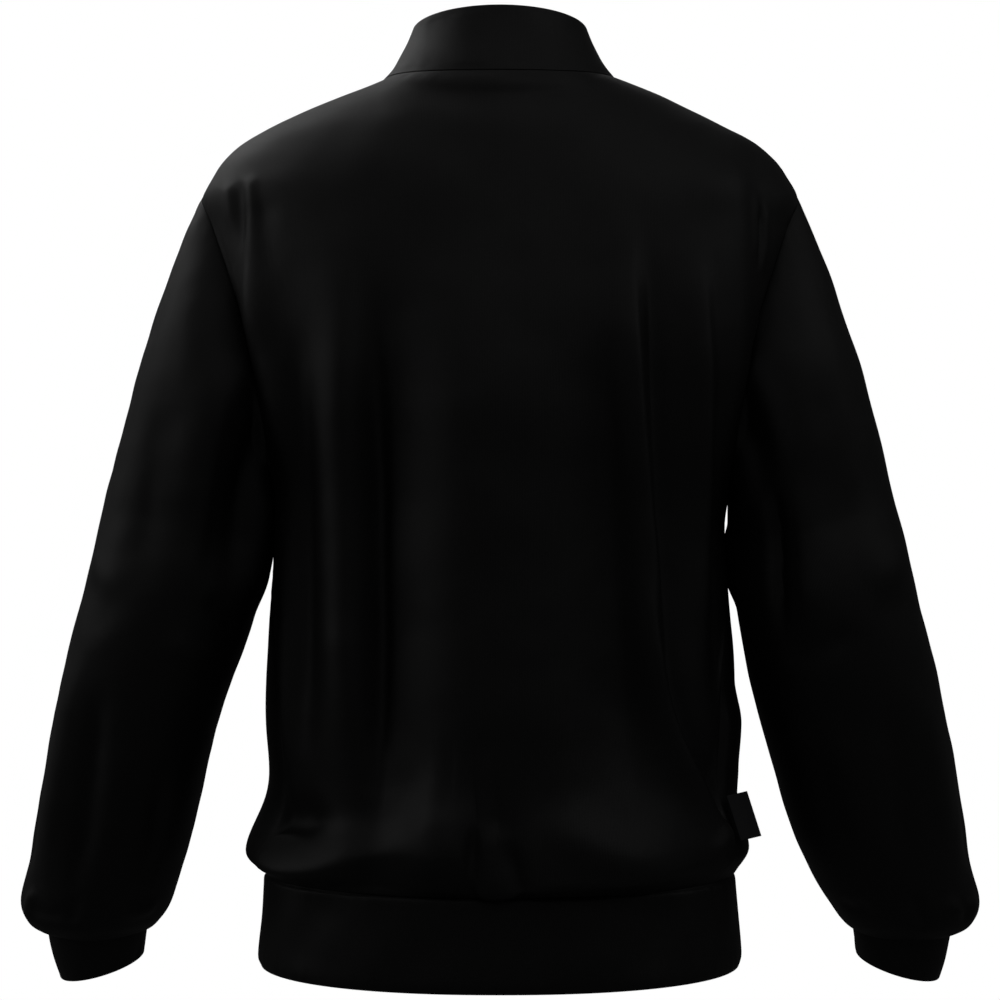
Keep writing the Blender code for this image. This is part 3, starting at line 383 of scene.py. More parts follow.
def uneven(u, v, size, height, seed):
    """A slow random swell: the sum of sine waves about this long, in random directions."""
    chance = np.random.default_rng(seed)
    total = np.zeros_like(u)
    for _ in range(SWELL_WAVES):
        angle, phase = chance.uniform(0, 2 * np.pi, 2)
        wave = 2 * np.pi / (size * chance.uniform(*SWELL_LENGTHS))
        total += np.sin(wave * (u * np.cos(angle) + v * np.sin(angle)) + phase)
    return height * total / SWELL_SIZE


def lengths(points, closed=False):
    """How far each grid point lies along its row, from the row's middle, and up its column."""
    if closed:
        points = np.concatenate([points, points[:, :1]], axis=1)
    across = np.linalg.norm(np.diff(points, axis=1), axis=2)
    along = np.linalg.norm(np.diff(points, axis=0), axis=2)
    u = np.concatenate([np.zeros((len(points), 1)), np.cumsum(across, axis=1)], axis=1)
    v = np.concatenate([np.zeros((1, points.shape[1])), np.cumsum(along, axis=0)])
    return u - u[:, [u.shape[1] // 2]], v


def sewn(points, lift, along, seed, towards, pucker, hold, reach=0.010, closed=False):
    """The grid moved outwards by its lift, which a seam holds down within this distance of an edge.

    By the seam the cloth also gathers in small uneven ripples along it, which fade as a bell over the
    reach. Distances are measured along the cloth.
    """
    u, v = lengths(points, closed)
    edge = np.minimum(v, v[-1:] - v)[:, : points.shape[1]]
    if not closed:
        edge = np.minimum(edge, np.minimum(u - u[:, :1], u[:, -1:] - u))
    ripple = uneven(along, 0 * along, RIPPLE_LENGTH, 1.0, seed)
    lift = lift + pucker * ripple * np.exp(-((edge / reach) ** 2)) * np.clip(edge / RIPPLE_START, 0, 1)
    return points + (lift * eased(edge / hold))[..., None] * facing(points, towards, closed)


def add_piece(name, points, faces, finish):
    """One smooth mesh object of these points and faces, in one finish."""
    mesh = bpy.data.meshes.new(name)
    mesh.from_pydata(points.tolist(), [], faces.tolist())
    mesh.materials.append(finish)
    mesh.shade_smooth()
    piece = bpy.data.objects.new(name, mesh)
    bpy.context.scene.collection.objects.link(piece)
    return piece


def sew(name, points, wall, finish, outward=None, closed=False, missing=None, rounding=RIM_ROUNDING):
    """Makes one cloth piece: the grid as quads with a UV map in metres, a wall inwards, soft rims.

    Its outer side faces the given direction, or else away from the middle of each row.
    """
    rows, columns = points.shape[:2]
    around = columns if closed else columns - 1
    row, col = np.meshgrid(np.arange(rows - 1), np.arange(around), indexing="ij")
    keep = np.ones(row.shape, bool) if missing is None else ~missing
    row, col = row[keep], col[keep]
    corner_rows = np.stack([row, row, row + 1, row + 1], axis=1)
    corner_columns = np.stack([col, col + 1, col + 1, col], axis=1)
    places = points.reshape(-1, 3)
    faces = corner_rows * columns + corner_columns % columns
    a, b, _, d = (places[faces[:, i]] for i in range(4))
    away = a - points.mean(axis=1)[row] if outward is None else outward
    if (np.cross(b - a, d - a) * away).sum() < 0:
        faces, corner_rows, corner_columns = (
            part[:, ::-1] for part in (faces, corner_rows, corner_columns)
        )
    used, faces = np.unique(faces, return_inverse=True)
    piece = add_piece(name, places[used], faces.reshape(-1, 4), finish)
    uv = np.stack([way[corner_rows, corner_columns] for way in lengths(points, closed)], axis=-1)
    piece.data.uv_layers.new(name="cloth").uv.foreach_set("vector", uv.astype(np.float32).ravel())
    thick = piece.modifiers.new("wall", "SOLIDIFY")
    thick.thickness = wall
    thick.offset = -1
    soft = piece.modifiers.new("rims", "BEVEL")
    soft.width = rounding
    soft.segments = RIM_SEGMENTS
    soft.limit_method = "ANGLE"
    soft.angle_limit = np.radians(RIM_CORNER)
    soft.use_clamp_overlap = True
    return piece


def feed(socket, value):
    """Gives an input this value, or links it to this output of another node."""
    if isinstance(value, bpy.types.NodeSocket):
        socket.id_data.links.new(value, socket)
    else:
        socket.default_value = value


def node(tree, kind, place, **values):
    """Adds a shader node at a place, setting its properties and feeding its inputs."""
    made = tree.nodes.new(kind)
    made.location = place
    for key, value in values.items():
        if key in made.inputs:
            feed(made.inputs[key], value)
        else:
            setattr(made, key, value)
    return made


def new_finish(name, **values):
    """A new material, its tree and its shader's inputs, with these values on them."""
    made = bpy.data.materials.new(name)
    made.use_nodes = True
    shader = made.node_tree.nodes["Principled BSDF"].inputs
    for key, value in values.items():
        feed(shader[key.replace("_", " ")], value)
    return made, made.node_tree, shader


def dyed(tree, place, amount, darker, lighter):
    """A colour between two dyes."""
    mix = node(tree, "ShaderNodeMix", place, data_type="RGBA")
    for slot, value in ((0, amount), (6, darker), (7, lighter)):
        feed(mix.inputs[slot], value)
    return mix.outputs[2]


def ranged(tree, place, amount, low, high):
    """A value between two limits."""
    limits = {"To Min": low, "To Max": high}
    return node(tree, "ShaderNodeMapRange", place, Value=amount, **limits).outputs[0]


def bumped(tree, place, height, strength, depth):
    """A normal from this height."""
    return node(tree, "ShaderNodeBump", place, Height=height, Strength=strength, Distance=depth).outputs[0]


def new_group(name, inputs, outputs):
    """A new shader node group, and what its inputs, named with their first values, give inside it."""
    group = bpy.data.node_groups.new(name, "ShaderNodeTree")
    for title, first in inputs.items():
        socket = group.interface.new_socket(title, in_out="INPUT", socket_type="NodeSocketFloat")
        socket.default_value = first
    for title in outputs:
        group.interface.new_socket(title, in_out="OUTPUT", socket_type="NodeSocketFloat")
    return group, node(group, "NodeGroupInput", (-1200, 0)).outputs


def step(tree, kind, place, *values):
    """The result of one step of arithmetic on these values."""
    made = node(tree, "ShaderNodeMath", place, operation=kind)
    for socket, value in zip(made.inputs, values):
        feed(socket, value)
    return made.outputs[0]


WALE = 0.0012
COURSE = 0.0010
NAP = 0.35
KNIT_DEPTH = 0.00012


def jersey_group():
    """Node group for plain-knit cloth on the piece's own UV map, in metres.

    Each wale is a column of V-shaped stitches: the height is a cosine up the column whose phase leans
    with the distance from the wale's middle, times a rounded profile across it. A fine noise adds the
    nap, and a slow noise the uneven dye.
    """
    group, given = new_group("jersey_knit", {"Wale": WALE, "Course": COURSE, "Nap": NAP}, ("Height", "Dye"))
    place = node(group, "ShaderNodeUVMap", (-1200, -300), uv_map="cloth").outputs["UV"]
    axes = node(group, "ShaderNodeSeparateXYZ", (-1000, -300), Vector=place).outputs
    wales = step(group, "DIVIDE", (-800, 0), axes[0], given["Wale"])
    in_wale = step(group, "SUBTRACT", (-480, 0), step(group, "FRACT", (-640, 0), wales), 0.5)
    off_middle = step(group, "ABSOLUTE", (-320, 0), in_wale)
    lean = step(group, "MULTIPLY", (-320, -200), off_middle, 1.2)
    courses = step(group, "DIVIDE", (-800, -200), axes[1], given["Course"])
    phase = step(group, "SUBTRACT", (-160, -200), courses, lean)
    wave = step(group, "COSINE", (160, -200), step(group, "MULTIPLY", (0, -200), phase, 2 * np.pi))
    loops = step(group, "ADD", (480, -200), step(group, "MULTIPLY", (320, -200), wave, 0.35), 0.65)
    arch = step(group, "COSINE", (0, 0), step(group, "MULTIPLY", (-160, 0), off_middle, np.pi))
    stitch = step(group, "MULTIPLY", (480, 0), loops, arch)
    fuzz = node(group, "ShaderNodeTexNoise", (-320, -450), Scale=2600.0, Detail=2.0, Vector=place)
    slow = node(group, "ShaderNodeTexNoise", (-320, -700), Scale=16.0, Detail=3.0, Vector=place)
    nap = step(group, "MULTIPLY", (320, -450), fuzz.outputs["Fac"], given["Nap"])
    height = step(group, "ADD", (640, 0), stitch, nap)
    node(group, "NodeGroupOutput", (900, 0), Height=height, Dye=slow.outputs["Fac"])
    return group


def jersey_finish():
    """Black jersey: its dye and its roughness vary slowly, and the knit is its bump."""
    made, tree, shader = new_finish("black_jersey")
    knit = node(tree, "ShaderNodeGroup", (-700, 0), node_tree=jersey_group()).outputs
    colour = dyed(tree, (-350, 200), knit["Dye"], (0.0026, 0.0026, 0.0027, 1), (0.0040, 0.0040, 0.0042, 1))
    feed(shader["Base Color"], colour)
    feed(shader["Roughness"], ranged(tree, (-350, -50), knit["Dye"], 0.52, 0.62))
    feed(shader["Normal"], bumped(tree, (-350, -350), knit["Height"], 0.6, KNIT_DEPTH))
    return made


BODY_CLOTH = jersey_finish()


def panel(side, creases, seed):
    """Grid of the back (side 1) or front (side -1), rows from hem seam to shoulder seam.

    Below the underarm row the columns spread as a sine round the body. Above it the rows' ends follow
    the armhole, and the rows bend up to the shoulder and neck edge. The front's columns start at the
    slit's two edges, with three between them.
    """
    half = np.linspace(0, 1, COLUMNS_ACROSS + 1)
    if side > 0:
        out = np.abs(np.concatenate([-half[:0:-1], half]))
        hand = np.sign(np.concatenate([-half[:0:-1], half]))
    else:
        out = np.concatenate([half[::-1], [0, 0, 0], half])
        hand = np.concatenate([-np.ones(len(half)), [-0.5, 0, 0.5], np.ones(len(half))])
    turn = np.linspace(0, 1, ROWS_HIGH + 1)[:, None]
    x_end, z_end = armhole(turn, side)
    x_top, z_top = top_edge(out, side)
    middle_low = UNDERARM_Z - UNDERARM_DIP
    middle_top = NECK_BACK_Z if side > 0 else NECK_FRONT_Z
    z_middle = middle_low + (middle_top - middle_low) * (1 - (1 - turn) ** CROWDED_HIGH)
    slit = at_slit(out, side)
    bend = out**ROWS_BEND
    rise = np.sin(np.pi / 2 * turn) ** TOP_RISE
    z_high = z_middle + (z_end - z_middle) * bend
    z_high = z_high + (z_top - (z_middle[-1] + (z_end[-1] - z_middle[-1]) * bend)) * rise
    spread = np.sin(out * (np.pi / 2 - side * side_seam(z_high)))
    taper = half_width(z_high) / half_width(z_end)
    x_high = x_end * spread * taper ** ((1 - turn) ** TAPER_FADE) + slit
    x_high = x_high + (x_top - x_end[-1] * spread - slit) * rise
    low = np.linspace(0, 1, ROWS_LOW + 1)[:-1, None] ** CROWDED_LOW
    z_low = HEM_SEAM_Z + (z_high[0] - HEM_SEAM_Z) * low
    turn_low = out * (np.pi / 2 - side * side_seam(z_low))
    x_low = half_width(z_low) * np.sin(turn_low) + slit
    which = side * np.concatenate([np.where(np.cos(turn_low) < 0, -1, 1), np.ones_like(z_high)])
    x = np.concatenate([x_low, x_high]) * hand
    z = np.concatenate([z_low, z_high])
    points = bloused(torso(x, z, which))
    lift = creased(points[..., 0], points[..., 2], creases)
    lift += uneven(x, z, 0.09, 0.0005, seed) + uneven(x, z, 0.035, 0.00016, seed + 1)
    u, v = lengths(points)
    flat = sewn(points, lift, u + v, seed + 2, -side, pucker=0.0003, hold=0.007)
    if side < 0:
        beside = eased((np.abs(x) - SLIT_HALF_WIDTH) / FLAT_BESIDE_SLIT)
        beside = np.where(z > SLIT_Z - FLAT_BELOW_SLIT, beside, 1)[..., None]
        flat = points + (flat - points) * beside
    flat[..., 1] += side * SEAM_GAP / 2
    return flat


back = panel(1, BACK_CREASES, 11)
back_panel = sew("back_panel_cloth", back, CLOTH_WALL, BODY_CLOTH)
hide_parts("back_panel")
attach(back_panel, "sweatshirt")

# ---- Front panel ----
# Cut from the same jersey, with a lower neck and a slit down the middle for the half zip. It is sewn to
# the back at the shoulders and down the sides, where the seams sit a little to the back.
SLIT_Z = -0.2621
FLAT_BESIDE_SLIT = 0.02
FLAT_BELOW_SLIT = 0.03
SLIT_COLUMNS = 4  # quads across it
FRONT_CREASES = table(
    Crease,
    (0.076, -0.250, 0.066, -0.420, 0.052, -0.600, 0.020, 0.034, 0.0062),
    (0.104, -0.260, 0.096, -0.420, 0.088, -0.580, 0.010, 0.014, -0.0045),
    (0.136, -0.190, 0.126, -0.350, 0.116, -0.560, 0.022, 0.012, 0.0050),
    (0.158, -0.250, 0.150, -0.360, 0.140, -0.500, 0.010, 0.014, -0.0038),
    (0.174, -0.280, 0.168, -0.400, 0.158, -0.560, 0.010, 0.010, 0.0024),
    (-0.080, -0.220, -0.068, -0.420, -0.060, -0.600, 0.034, 0.018, 0.0060),
    (-0.106, -0.240, -0.098, -0.400, -0.096, -0.570, 0.012, 0.010, -0.0046),
    (-0.140, -0.180, -0.128, -0.340, -0.118, -0.540, 0.014, 0.020, 0.0050),
    (-0.160, -0.230, -0.152, -0.360, -0.146, -0.520, 0.012, 0.010, -0.0036),
    (-0.174, -0.300, -0.168, -0.420, -0.160, -0.560, 0.009, 0.010, 0.0024),
    (0.034, -0.300, 0.024, -0.420, 0.018, -0.560, 0.020, 0.016, -0.0034),
    (-0.030, -0.340, -0.026, -0.460, -0.030, -0.590, 0.016, 0.018, -0.0026),
    (0.004, -0.262, 0.002, -0.340, -0.002, -0.460, 0.018, 0.018, 0.0022),
    (0.012, -0.250, 0.046, -0.236, 0.088, -0.205, 0.010, 0.012, 0.0020),
    (-0.012, -0.252, -0.050, -0.240, -0.092, -0.212, 0.010, 0.012, 0.0018),
    (0.214, -0.090, 0.2135, -0.110, 0.2090, -0.140, 0.004, 0.004, 0.0030),
    (0.204, -0.092, 0.2030, -0.114, 0.2000, -0.150, 0.004, 0.004, -0.0036),
    (0.194, -0.086, 0.1920, -0.108, 0.1860, -0.140, 0.005, 0.005, 0.0030),
    (-0.213, -0.092, -0.2125, -0.112, -0.2090, -0.145, 0.004, 0.004, 0.0028),
    (-0.203, -0.096, -0.2025, -0.118, -0.1990, -0.155, 0.004, 0.004, -0.0034),
    (-0.193, -0.090, -0.1910, -0.112, -0.1850, -0.145, 0.005, 0.005, 0.0026),
    (0.206, -0.140, 0.198, -0.200, 0.186, -0.270, 0.006, 0.010, -0.0034),
    (-0.206, -0.140, -0.198, -0.200, -0.186, -0.270, 0.010, 0.006, -0.0034),
    (0.168, -0.310, 0.120, -0.290, 0.070, -0.235, 0.010, 0.012, 0.0026),
    (-0.166, -0.320, -0.118, -0.296, -0.066, -0.250, 0.010, 0.012, 0.0024),
    (0.150, -0.342, 0.110, -0.318, 0.072, -0.275, 0.007, 0.008, -0.0020),
    (0.110, -0.058, 0.080, -0.075, 0.050, -0.100, 0.012, 0.014, 0.0018),
    (-0.108, -0.056, -0.080, -0.074, -0.048, -0.098, 0.012, 0.014, 0.0016),
    (0.120, -0.606, 0.088, -0.613, 0.050, -0.606, 0.006, 0.009, -0.0050),
    (-0.020, -0.612, -0.054, -0.616, -0.094, -0.610, 0.006, 0.009, -0.0050),
    (0.036, -0.580, 0.034, -0.604, 0.026, -0.632, 0.006, 0.004, -0.0034),
    (-0.104, -0.580, -0.108, -0.604, -0.112, -0.632, 0.005, 0.005, -0.0034),
    (0.014, -0.570, 0.010, -0.600, 0.008, -0.630, 0.010, 0.012, 0.0030),
    (0.150, -0.560, 0.142, -0.590, 0.140, -0.625, 0.006, 0.005, -0.0028),
    (-0.186, -0.480, -0.187, -0.535, -0.190, -0.590, 0.024, 0.024, 0.0060),
)
front = panel(-1, FRONT_CREASES, 23)
slit_row = ROWS_LOW + round(SLIT_SHARE * ROWS_HIGH)
slit_missing = np.zeros((front.shape[0] - 1, front.shape[1] - 1), bool)
slit_missing[slit_row:, COLUMNS_ACROSS : COLUMNS_ACROSS + SLIT_COLUMNS] = True
front_panel = sew("front_panel_cloth", front, CLOTH_WALL, BODY_CLOTH, missing=slit_missing)
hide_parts("front_panel")
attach(front_panel, "sweatshirt")

# ---- Sleeves ----
# Each is one piece of jersey, sewn into a tube and set into the armhole. They hang full, bend at the
# elbow and puff over the cuffs, and the right one hangs fuller towards the body.
Ring = namedtuple("Ring", "z x y half_width half_depth lean pitch right_fuller")
SLEEVE = table(
    Ring,
    (-0.356, 0.2513, 0.000, 0.0678, 0.0670, 14, 0, 0.000),
    (-0.420, 0.2660, 0.004, 0.0685, 0.0690, 13, 0, 0.007),
    (-0.500, 0.2916, -0.008, 0.0654, 0.0670, 12, 10, 0.017),
    (-0.584, 0.3121, -0.030, 0.0650, 0.0650, 12, 14, 0.012),
    (-0.640, 0.3270, -0.047, 0.0618, 0.0620, 9, 14, 0.005),
    (-0.668, 0.3359, -0.056, 0.0613, 0.0600, 4, 12, 0.000),
    (-0.682, 0.3386, -0.061, 0.0559, 0.0540, 2, 10, 0.000),
    (-0.6890, 0.3385, -0.0635, 0.0490, 0.0470, 1, 8, 0.000),
    (-0.6880, 0.3370, -0.0635, 0.0432, 0.0424, -4, 8, 0.000),
    (-0.6800, 0.3365, -0.0620, 0.0424, 0.0418, -4, 8, 0.000),
)
SLEEVE_TURNS = 66
CAP_ROWS = 56
ARM_ROWS = 145
ARM_RADIUS = 0.067
# Ways the cap leaves the armhole seam, which it stands off by the gap, and the way it joins the arm.
CAP_OFF_SEAM = np.array([0.968, 0.0, -0.249])
CAP_FROM_UNDERARM = np.array([0.16, 0, -0.99])
CAP_FROM_SHOULDER = np.array([0.40, 0, -0.90])
CAP_FROM_SIDES = np.array([0.66, 0, -0.60])
CAP_SWELL = np.array([0, 0.62, 0])
CAP_ARRIVES = np.array([0.24, 0, -0.97])
# Creases of a left sleeve: x is the angle round it in degrees (0 faces the body, 90 the back, 180
# outwards, 270 the front), so plus is the flank further round; reaches are in metres on the cloth.
LEFT_SLEEVE_CREASES = table(
    Crease,
    (6, -0.320, 8, -0.378, 6, -0.436, 0.026, 0.026, 0.0050),
    (150, -0.180, 146, -0.300, 138, -0.460, 0.020, 0.024, 0.0030),
    (118, -0.240, 112, -0.320, 104, -0.430, 0.012, 0.018, -0.0026),
    (58, -0.165, 52, -0.280, 44, -0.420, 0.016, 0.012, -0.0110),
    (86, -0.200, 78, -0.310, 72, -0.430, 0.020, 0.008, 0.0050),
    (32, -0.310, 30, -0.370, 26, -0.440, 0.014, 0.012, 0.0080),
    (166, -0.398, 138, -0.412, 104, -0.440, 0.012, 0.016, -0.0012),
    (160, -0.380, 138, -0.394, 112, -0.412, 0.012, 0.010, 0.0014),
    (156, -0.438, 134, -0.448, 110, -0.462, 0.012, 0.014, 0.0012),
    (62, -0.410, 44, -0.428, 20, -0.436, 0.008, 0.008, -0.0036),
    (84, -0.440, 60, -0.456, 30, -0.462, 0.009, 0.010, 0.0028),
    (142, -0.440, 136, -0.540, 130, -0.660, 0.018, 0.014, 0.0060),
    (116, -0.470, 109, -0.570, 104, -0.670, 0.008, 0.010, -0.0060),
    (92, -0.520, 88, -0.590, 90, -0.650, 0.012, 0.012, 0.0032),
    (60, -0.540, 54, -0.600, 58, -0.650, 0.010, 0.008, -0.0034),
    (170, -0.520, 166, -0.590, 160, -0.650, 0.010, 0.012, -0.0026),
    (150, -0.664, 120, -0.672, 96, -0.664, 0.007, 0.007, -0.0024),
    (70, -0.662, 50, -0.670, 30, -0.664, 0.006, 0.007, 0.0028),
    (104, -0.652, 100, -0.668, 102, -0.684, 0.006, 0.006, -0.0026),
    (140, -0.650, 144, -0.668, 140, -0.684, 0.007, 0.006, 0.0026),
    (200, -0.640, 206, -0.662, 204, -0.684, 0.007, 0.006, -0.0030),
    (256, -0.390, 236, -0.410, 210, -0.418, 0.010, 0.008, -0.0048),
    (266, -0.362, 246, -0.384, 218, -0.396, 0.011, 0.010, 0.0042),
    (272, -0.424, 248, -0.438, 222, -0.440, 0.010, 0.010, 0.0036),
    (330, -0.370, 305, -0.400, 280, -0.440, 0.010, 0.010, -0.0044),
    (320, -0.340, 295, -0.370, 270, -0.400, 0.012, 0.010, 0.0036),
    (345, -0.420, 320, -0.440, 296, -0.470, 0.010, 0.010, 0.0032),
    (300, -0.230, 296, -0.300, 290, -0.370, 0.010, 0.012, -0.0034),
    (250, -0.200, 246, -0.290, 240, -0.360, 0.020, 0.016, 0.0032),
    (240, -0.480, 236, -0.560, 244, -0.640, 0.014, 0.012, 0.0040),
    (270, -0.500, 268, -0.580, 274, -0.650, 0.010, 0.010, -0.0040),
    (310, -0.510, 306, -0.590, 312, -0.650, 0.012, 0.010, 0.0034),
    (290, -0.650, 292, -0.668, 290, -0.684, 0.006, 0.006, -0.0028),
    (250, -0.654, 254, -0.670, 252, -0.684, 0.007, 0.006, 0.0026),
)
RIGHT_SLEEVE_CREASES = table(
    Crease,
    (6, -0.352, 8, -0.389, 6, -0.428, 0.022, 0.022, 0.0065),
    (150, -0.180, 148, -0.300, 140, -0.440, 0.022, 0.024, 0.0026),
    (112, -0.220, 106, -0.310, 100, -0.420, 0.014, 0.018, -0.0024),
    (80, -0.200, 76, -0.260, 70, -0.330, 0.008, 0.006, 0.0026),
    (66, -0.170, 60, -0.260, 52, -0.360, 0.012, 0.010, -0.0070),
    (64, -0.320, 57, -0.380, 50, -0.450, 0.005, 0.006, -0.0070),
    (80, -0.310, 74, -0.380, 68, -0.450, 0.014, 0.008, 0.0040),
    (158, -0.412, 134, -0.420, 104, -0.430, 0.012, 0.015, -0.0010),
    (166, -0.384, 138, -0.392, 106, -0.402, 0.020, 0.014, 0.0026),
    (100, -0.430, 74, -0.452, 44, -0.462, 0.009, 0.010, -0.0034),
    (138, -0.470, 134, -0.550, 136, -0.630, 0.018, 0.014, 0.0036),
    (112, -0.480, 104, -0.560, 100, -0.640, 0.010, 0.012, -0.0032),
    (76, -0.500, 74, -0.570, 80, -0.640, 0.014, 0.012, 0.0030),
    (168, -0.530, 166, -0.600, 162, -0.650, 0.010, 0.012, -0.0024),
    (160, -0.664, 136, -0.668, 110, -0.664, 0.008, 0.008, 0.0032),
    (64, -0.658, 48, -0.668, 30, -0.664, 0.006, 0.007, -0.0026),
    (100, -0.650, 96, -0.668, 98, -0.684, 0.006, 0.006, -0.0030),
    (130, -0.656, 134, -0.670, 130, -0.684, 0.006, 0.006, -0.0026),
    (190, -0.644, 196, -0.664, 194, -0.684, 0.007, 0.006, -0.0028),
    (254, -0.384, 234, -0.404, 210, -0.410, 0.010, 0.008, -0.0046),
    (264, -0.356, 244, -0.376, 218, -0.388, 0.011, 0.010, 0.0042),
    (274, -0.416, 250, -0.432, 222, -0.436, 0.010, 0.010, 0.0034),
    (326, -0.362, 300, -0.394, 276, -0.430, 0.010, 0.010, -0.0042),
    (316, -0.330, 292, -0.362, 266, -0.392, 0.012, 0.010, 0.0034),
    (340, -0.412, 318, -0.434, 292, -0.466, 0.010, 0.010, 0.0032),
    (296, -0.226, 292, -0.296, 288, -0.366, 0.010, 0.012, -0.0034),
    (246, -0.196, 244, -0.286, 238, -0.356, 0.020, 0.016, 0.0030),
    (236, -0.486, 232, -0.566, 240, -0.640, 0.014, 0.012, 0.0038),
    (266, -0.506, 264, -0.586, 270, -0.650, 0.010, 0.010, -0.0038),
    (306, -0.516, 302, -0.596, 308, -0.650, 0.012, 0.010, 0.0034),
    (286, -0.650, 288, -0.668, 286, -0.684, 0.006, 0.006, -0.0028),
)


def squared(wave, power):
    """A sine or cosine raised to this power, with its sign kept: under 1 it squares a circle."""
    return np.sign(wave) * np.abs(wave) ** power


def rings(tube, rows, angles, fuller=0.0, power=2.0):
    """Rows of points down a sleeve, cuff or band: ellipses in planes that lean and pitch.

    The rows are spread evenly over the table's own, with a cubic through each column. A power over 2
    makes each ellipse fuller at its diagonals.
    """
    place = np.linspace(0, len(tube) - 1, rows)
    piece = np.clip(place.astype(int), 0, len(tube) - 2)
    value = {}
    for name in Ring._fields:
        given = column(tube, name)
        slope = np.gradient(given)
        ends = (given[piece], slope[piece], given[piece + 1], slope[piece + 1])
        value[name] = hermite(*ends, place - piece)[:, None]
    lean, pitch = np.radians(value["lean"]), np.radians(value["pitch"])
    wider = fuller * value["right_fuller"] / 2
    across = -(value["half_width"] + wider) * squared(np.cos(angles), 2 / power)
    behind = value["half_depth"] * squared(np.sin(angles), 2 / power)
    x = value["x"] - wider + across * np.cos(lean)
    y = value["y"] + behind * np.cos(pitch)
    return np.stack([x, y, value["z"] + across * np.sin(lean) - behind * np.sin(pitch)], axis=-1)


def sleeve(hand, creases, seed):
    """Grid of a sleeve, rows from the armhole to the cuff seam, closed round; hand 1 is the left.

    The cap is a cubic blend from the armhole edge to the first ring: it leaves the body outwards over
    the shoulder and downwards at the underarm, and arrives along the arm.
    """
    turn = np.linspace(0, 1, SLEEVE_TURNS + 1)
    behind, before = (torso(*armhole(turn, side), side) for side in (1, -1))
    edge = np.concatenate([behind, before[-2:0:-1]]) + SEAM_GAP * CAP_OFF_SEAM
    angles = np.pi * np.concatenate([turn, 2 - turn[-2:0:-1]])
    arm = rings(SLEEVE, ARM_ROWS, angles, 0.0 if hand > 0 else 1.0)
    length = np.linalg.norm(arm[0] - edge, axis=1, keepdims=True)
    sideways = np.sin(angles)[:, None]
    upper = (1 - np.cos(angles)[:, None]) / 2
    leave = (1 - upper) * CAP_FROM_UNDERARM + upper * CAP_FROM_SHOULDER
    leave = (1 - sideways**2) * leave + sideways**2 * CAP_FROM_SIDES + sideways * CAP_SWELL
    share = np.linspace(0, 1, CAP_ROWS + 1)[:-1, None, None]
    points = np.concatenate([hermite(edge, leave * length, arm[0], CAP_ARRIVES * length, share), arm])
    around = np.broadcast_to(angles, points.shape[:2]) * ARM_RADIUS
    scale = ARM_RADIUS * np.radians(1)
    scaled = [row._replace(x1=row.x1 * scale, x2=row.x2 * scale, x3=row.x3 * scale) for row in creases]
    whole_turn = 2 * np.pi * ARM_RADIUS
    x, y, z = np.moveaxis(points, -1, 0)
    lift = sum(creased(around + shift, z, scaled) for shift in (0, whole_turn, -whole_turn))
    lift += uneven(x + y, z, 0.08, 0.0005, seed) + uneven(y - x, z, 0.034, 0.00016, seed + 1)
    points = sewn(points, lift, around, seed + 2, 1, pucker=0.0004, hold=0.008, closed=True)
    return points * np.array([hand, 1, 1])


for side_name, hand, creases in (("left", 1, LEFT_SLEEVE_CREASES), ("right", -1, RIGHT_SLEEVE_CREASES)):
    grid = sleeve(hand, creases, 31 + hand)
    piece = sew(f"sleeve_{side_name}_cloth", grid, CLOTH_WALL, BODY_CLOTH, closed=True)
    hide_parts(f"sleeve_{side_name}")
    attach(piece, "sweatshirt")

# ---- Collar ----
# A stand collar of the same jersey folded double along its top edge, sewn round the neck. It flares out of
# the neck seam and narrows upwards, and the zip runs up its front edges.
DOUBLE_WALL = 0.003
DOUBLE_ROUNDING = 0.0013
NECK_COLUMNS = round(NECK_SHARE * COLUMNS_ACROSS)
COLLAR_ROWS = 49
COLLAR_HALF_WIDTH = 0.0705
COLLAR_HALF_DEPTH = 0.066
COLLAR_SHIFT = -0.002
COLLAR_DRAWN_BACK = 0.022
COLLAR_HEIGHT = 0.040
COLLAR_RAISED = 0.0085
COLLAR_LOWERED = 0.024
COLLAR_CENTRE_Y = -0.005  # angles round the collar are taken about this, on an oval this much narrower
COLLAR_OVAL = 0.95
COLLAR_FLARE = 0.35  # the sides leave the neck seam this share further out, and rise this share less
COLLAR_SLOW_RISE = 0.2
COLLAR_TOP_SLOPE = (0.7, 1.1)  # shares of its whole way in and up with which it reaches the top edge


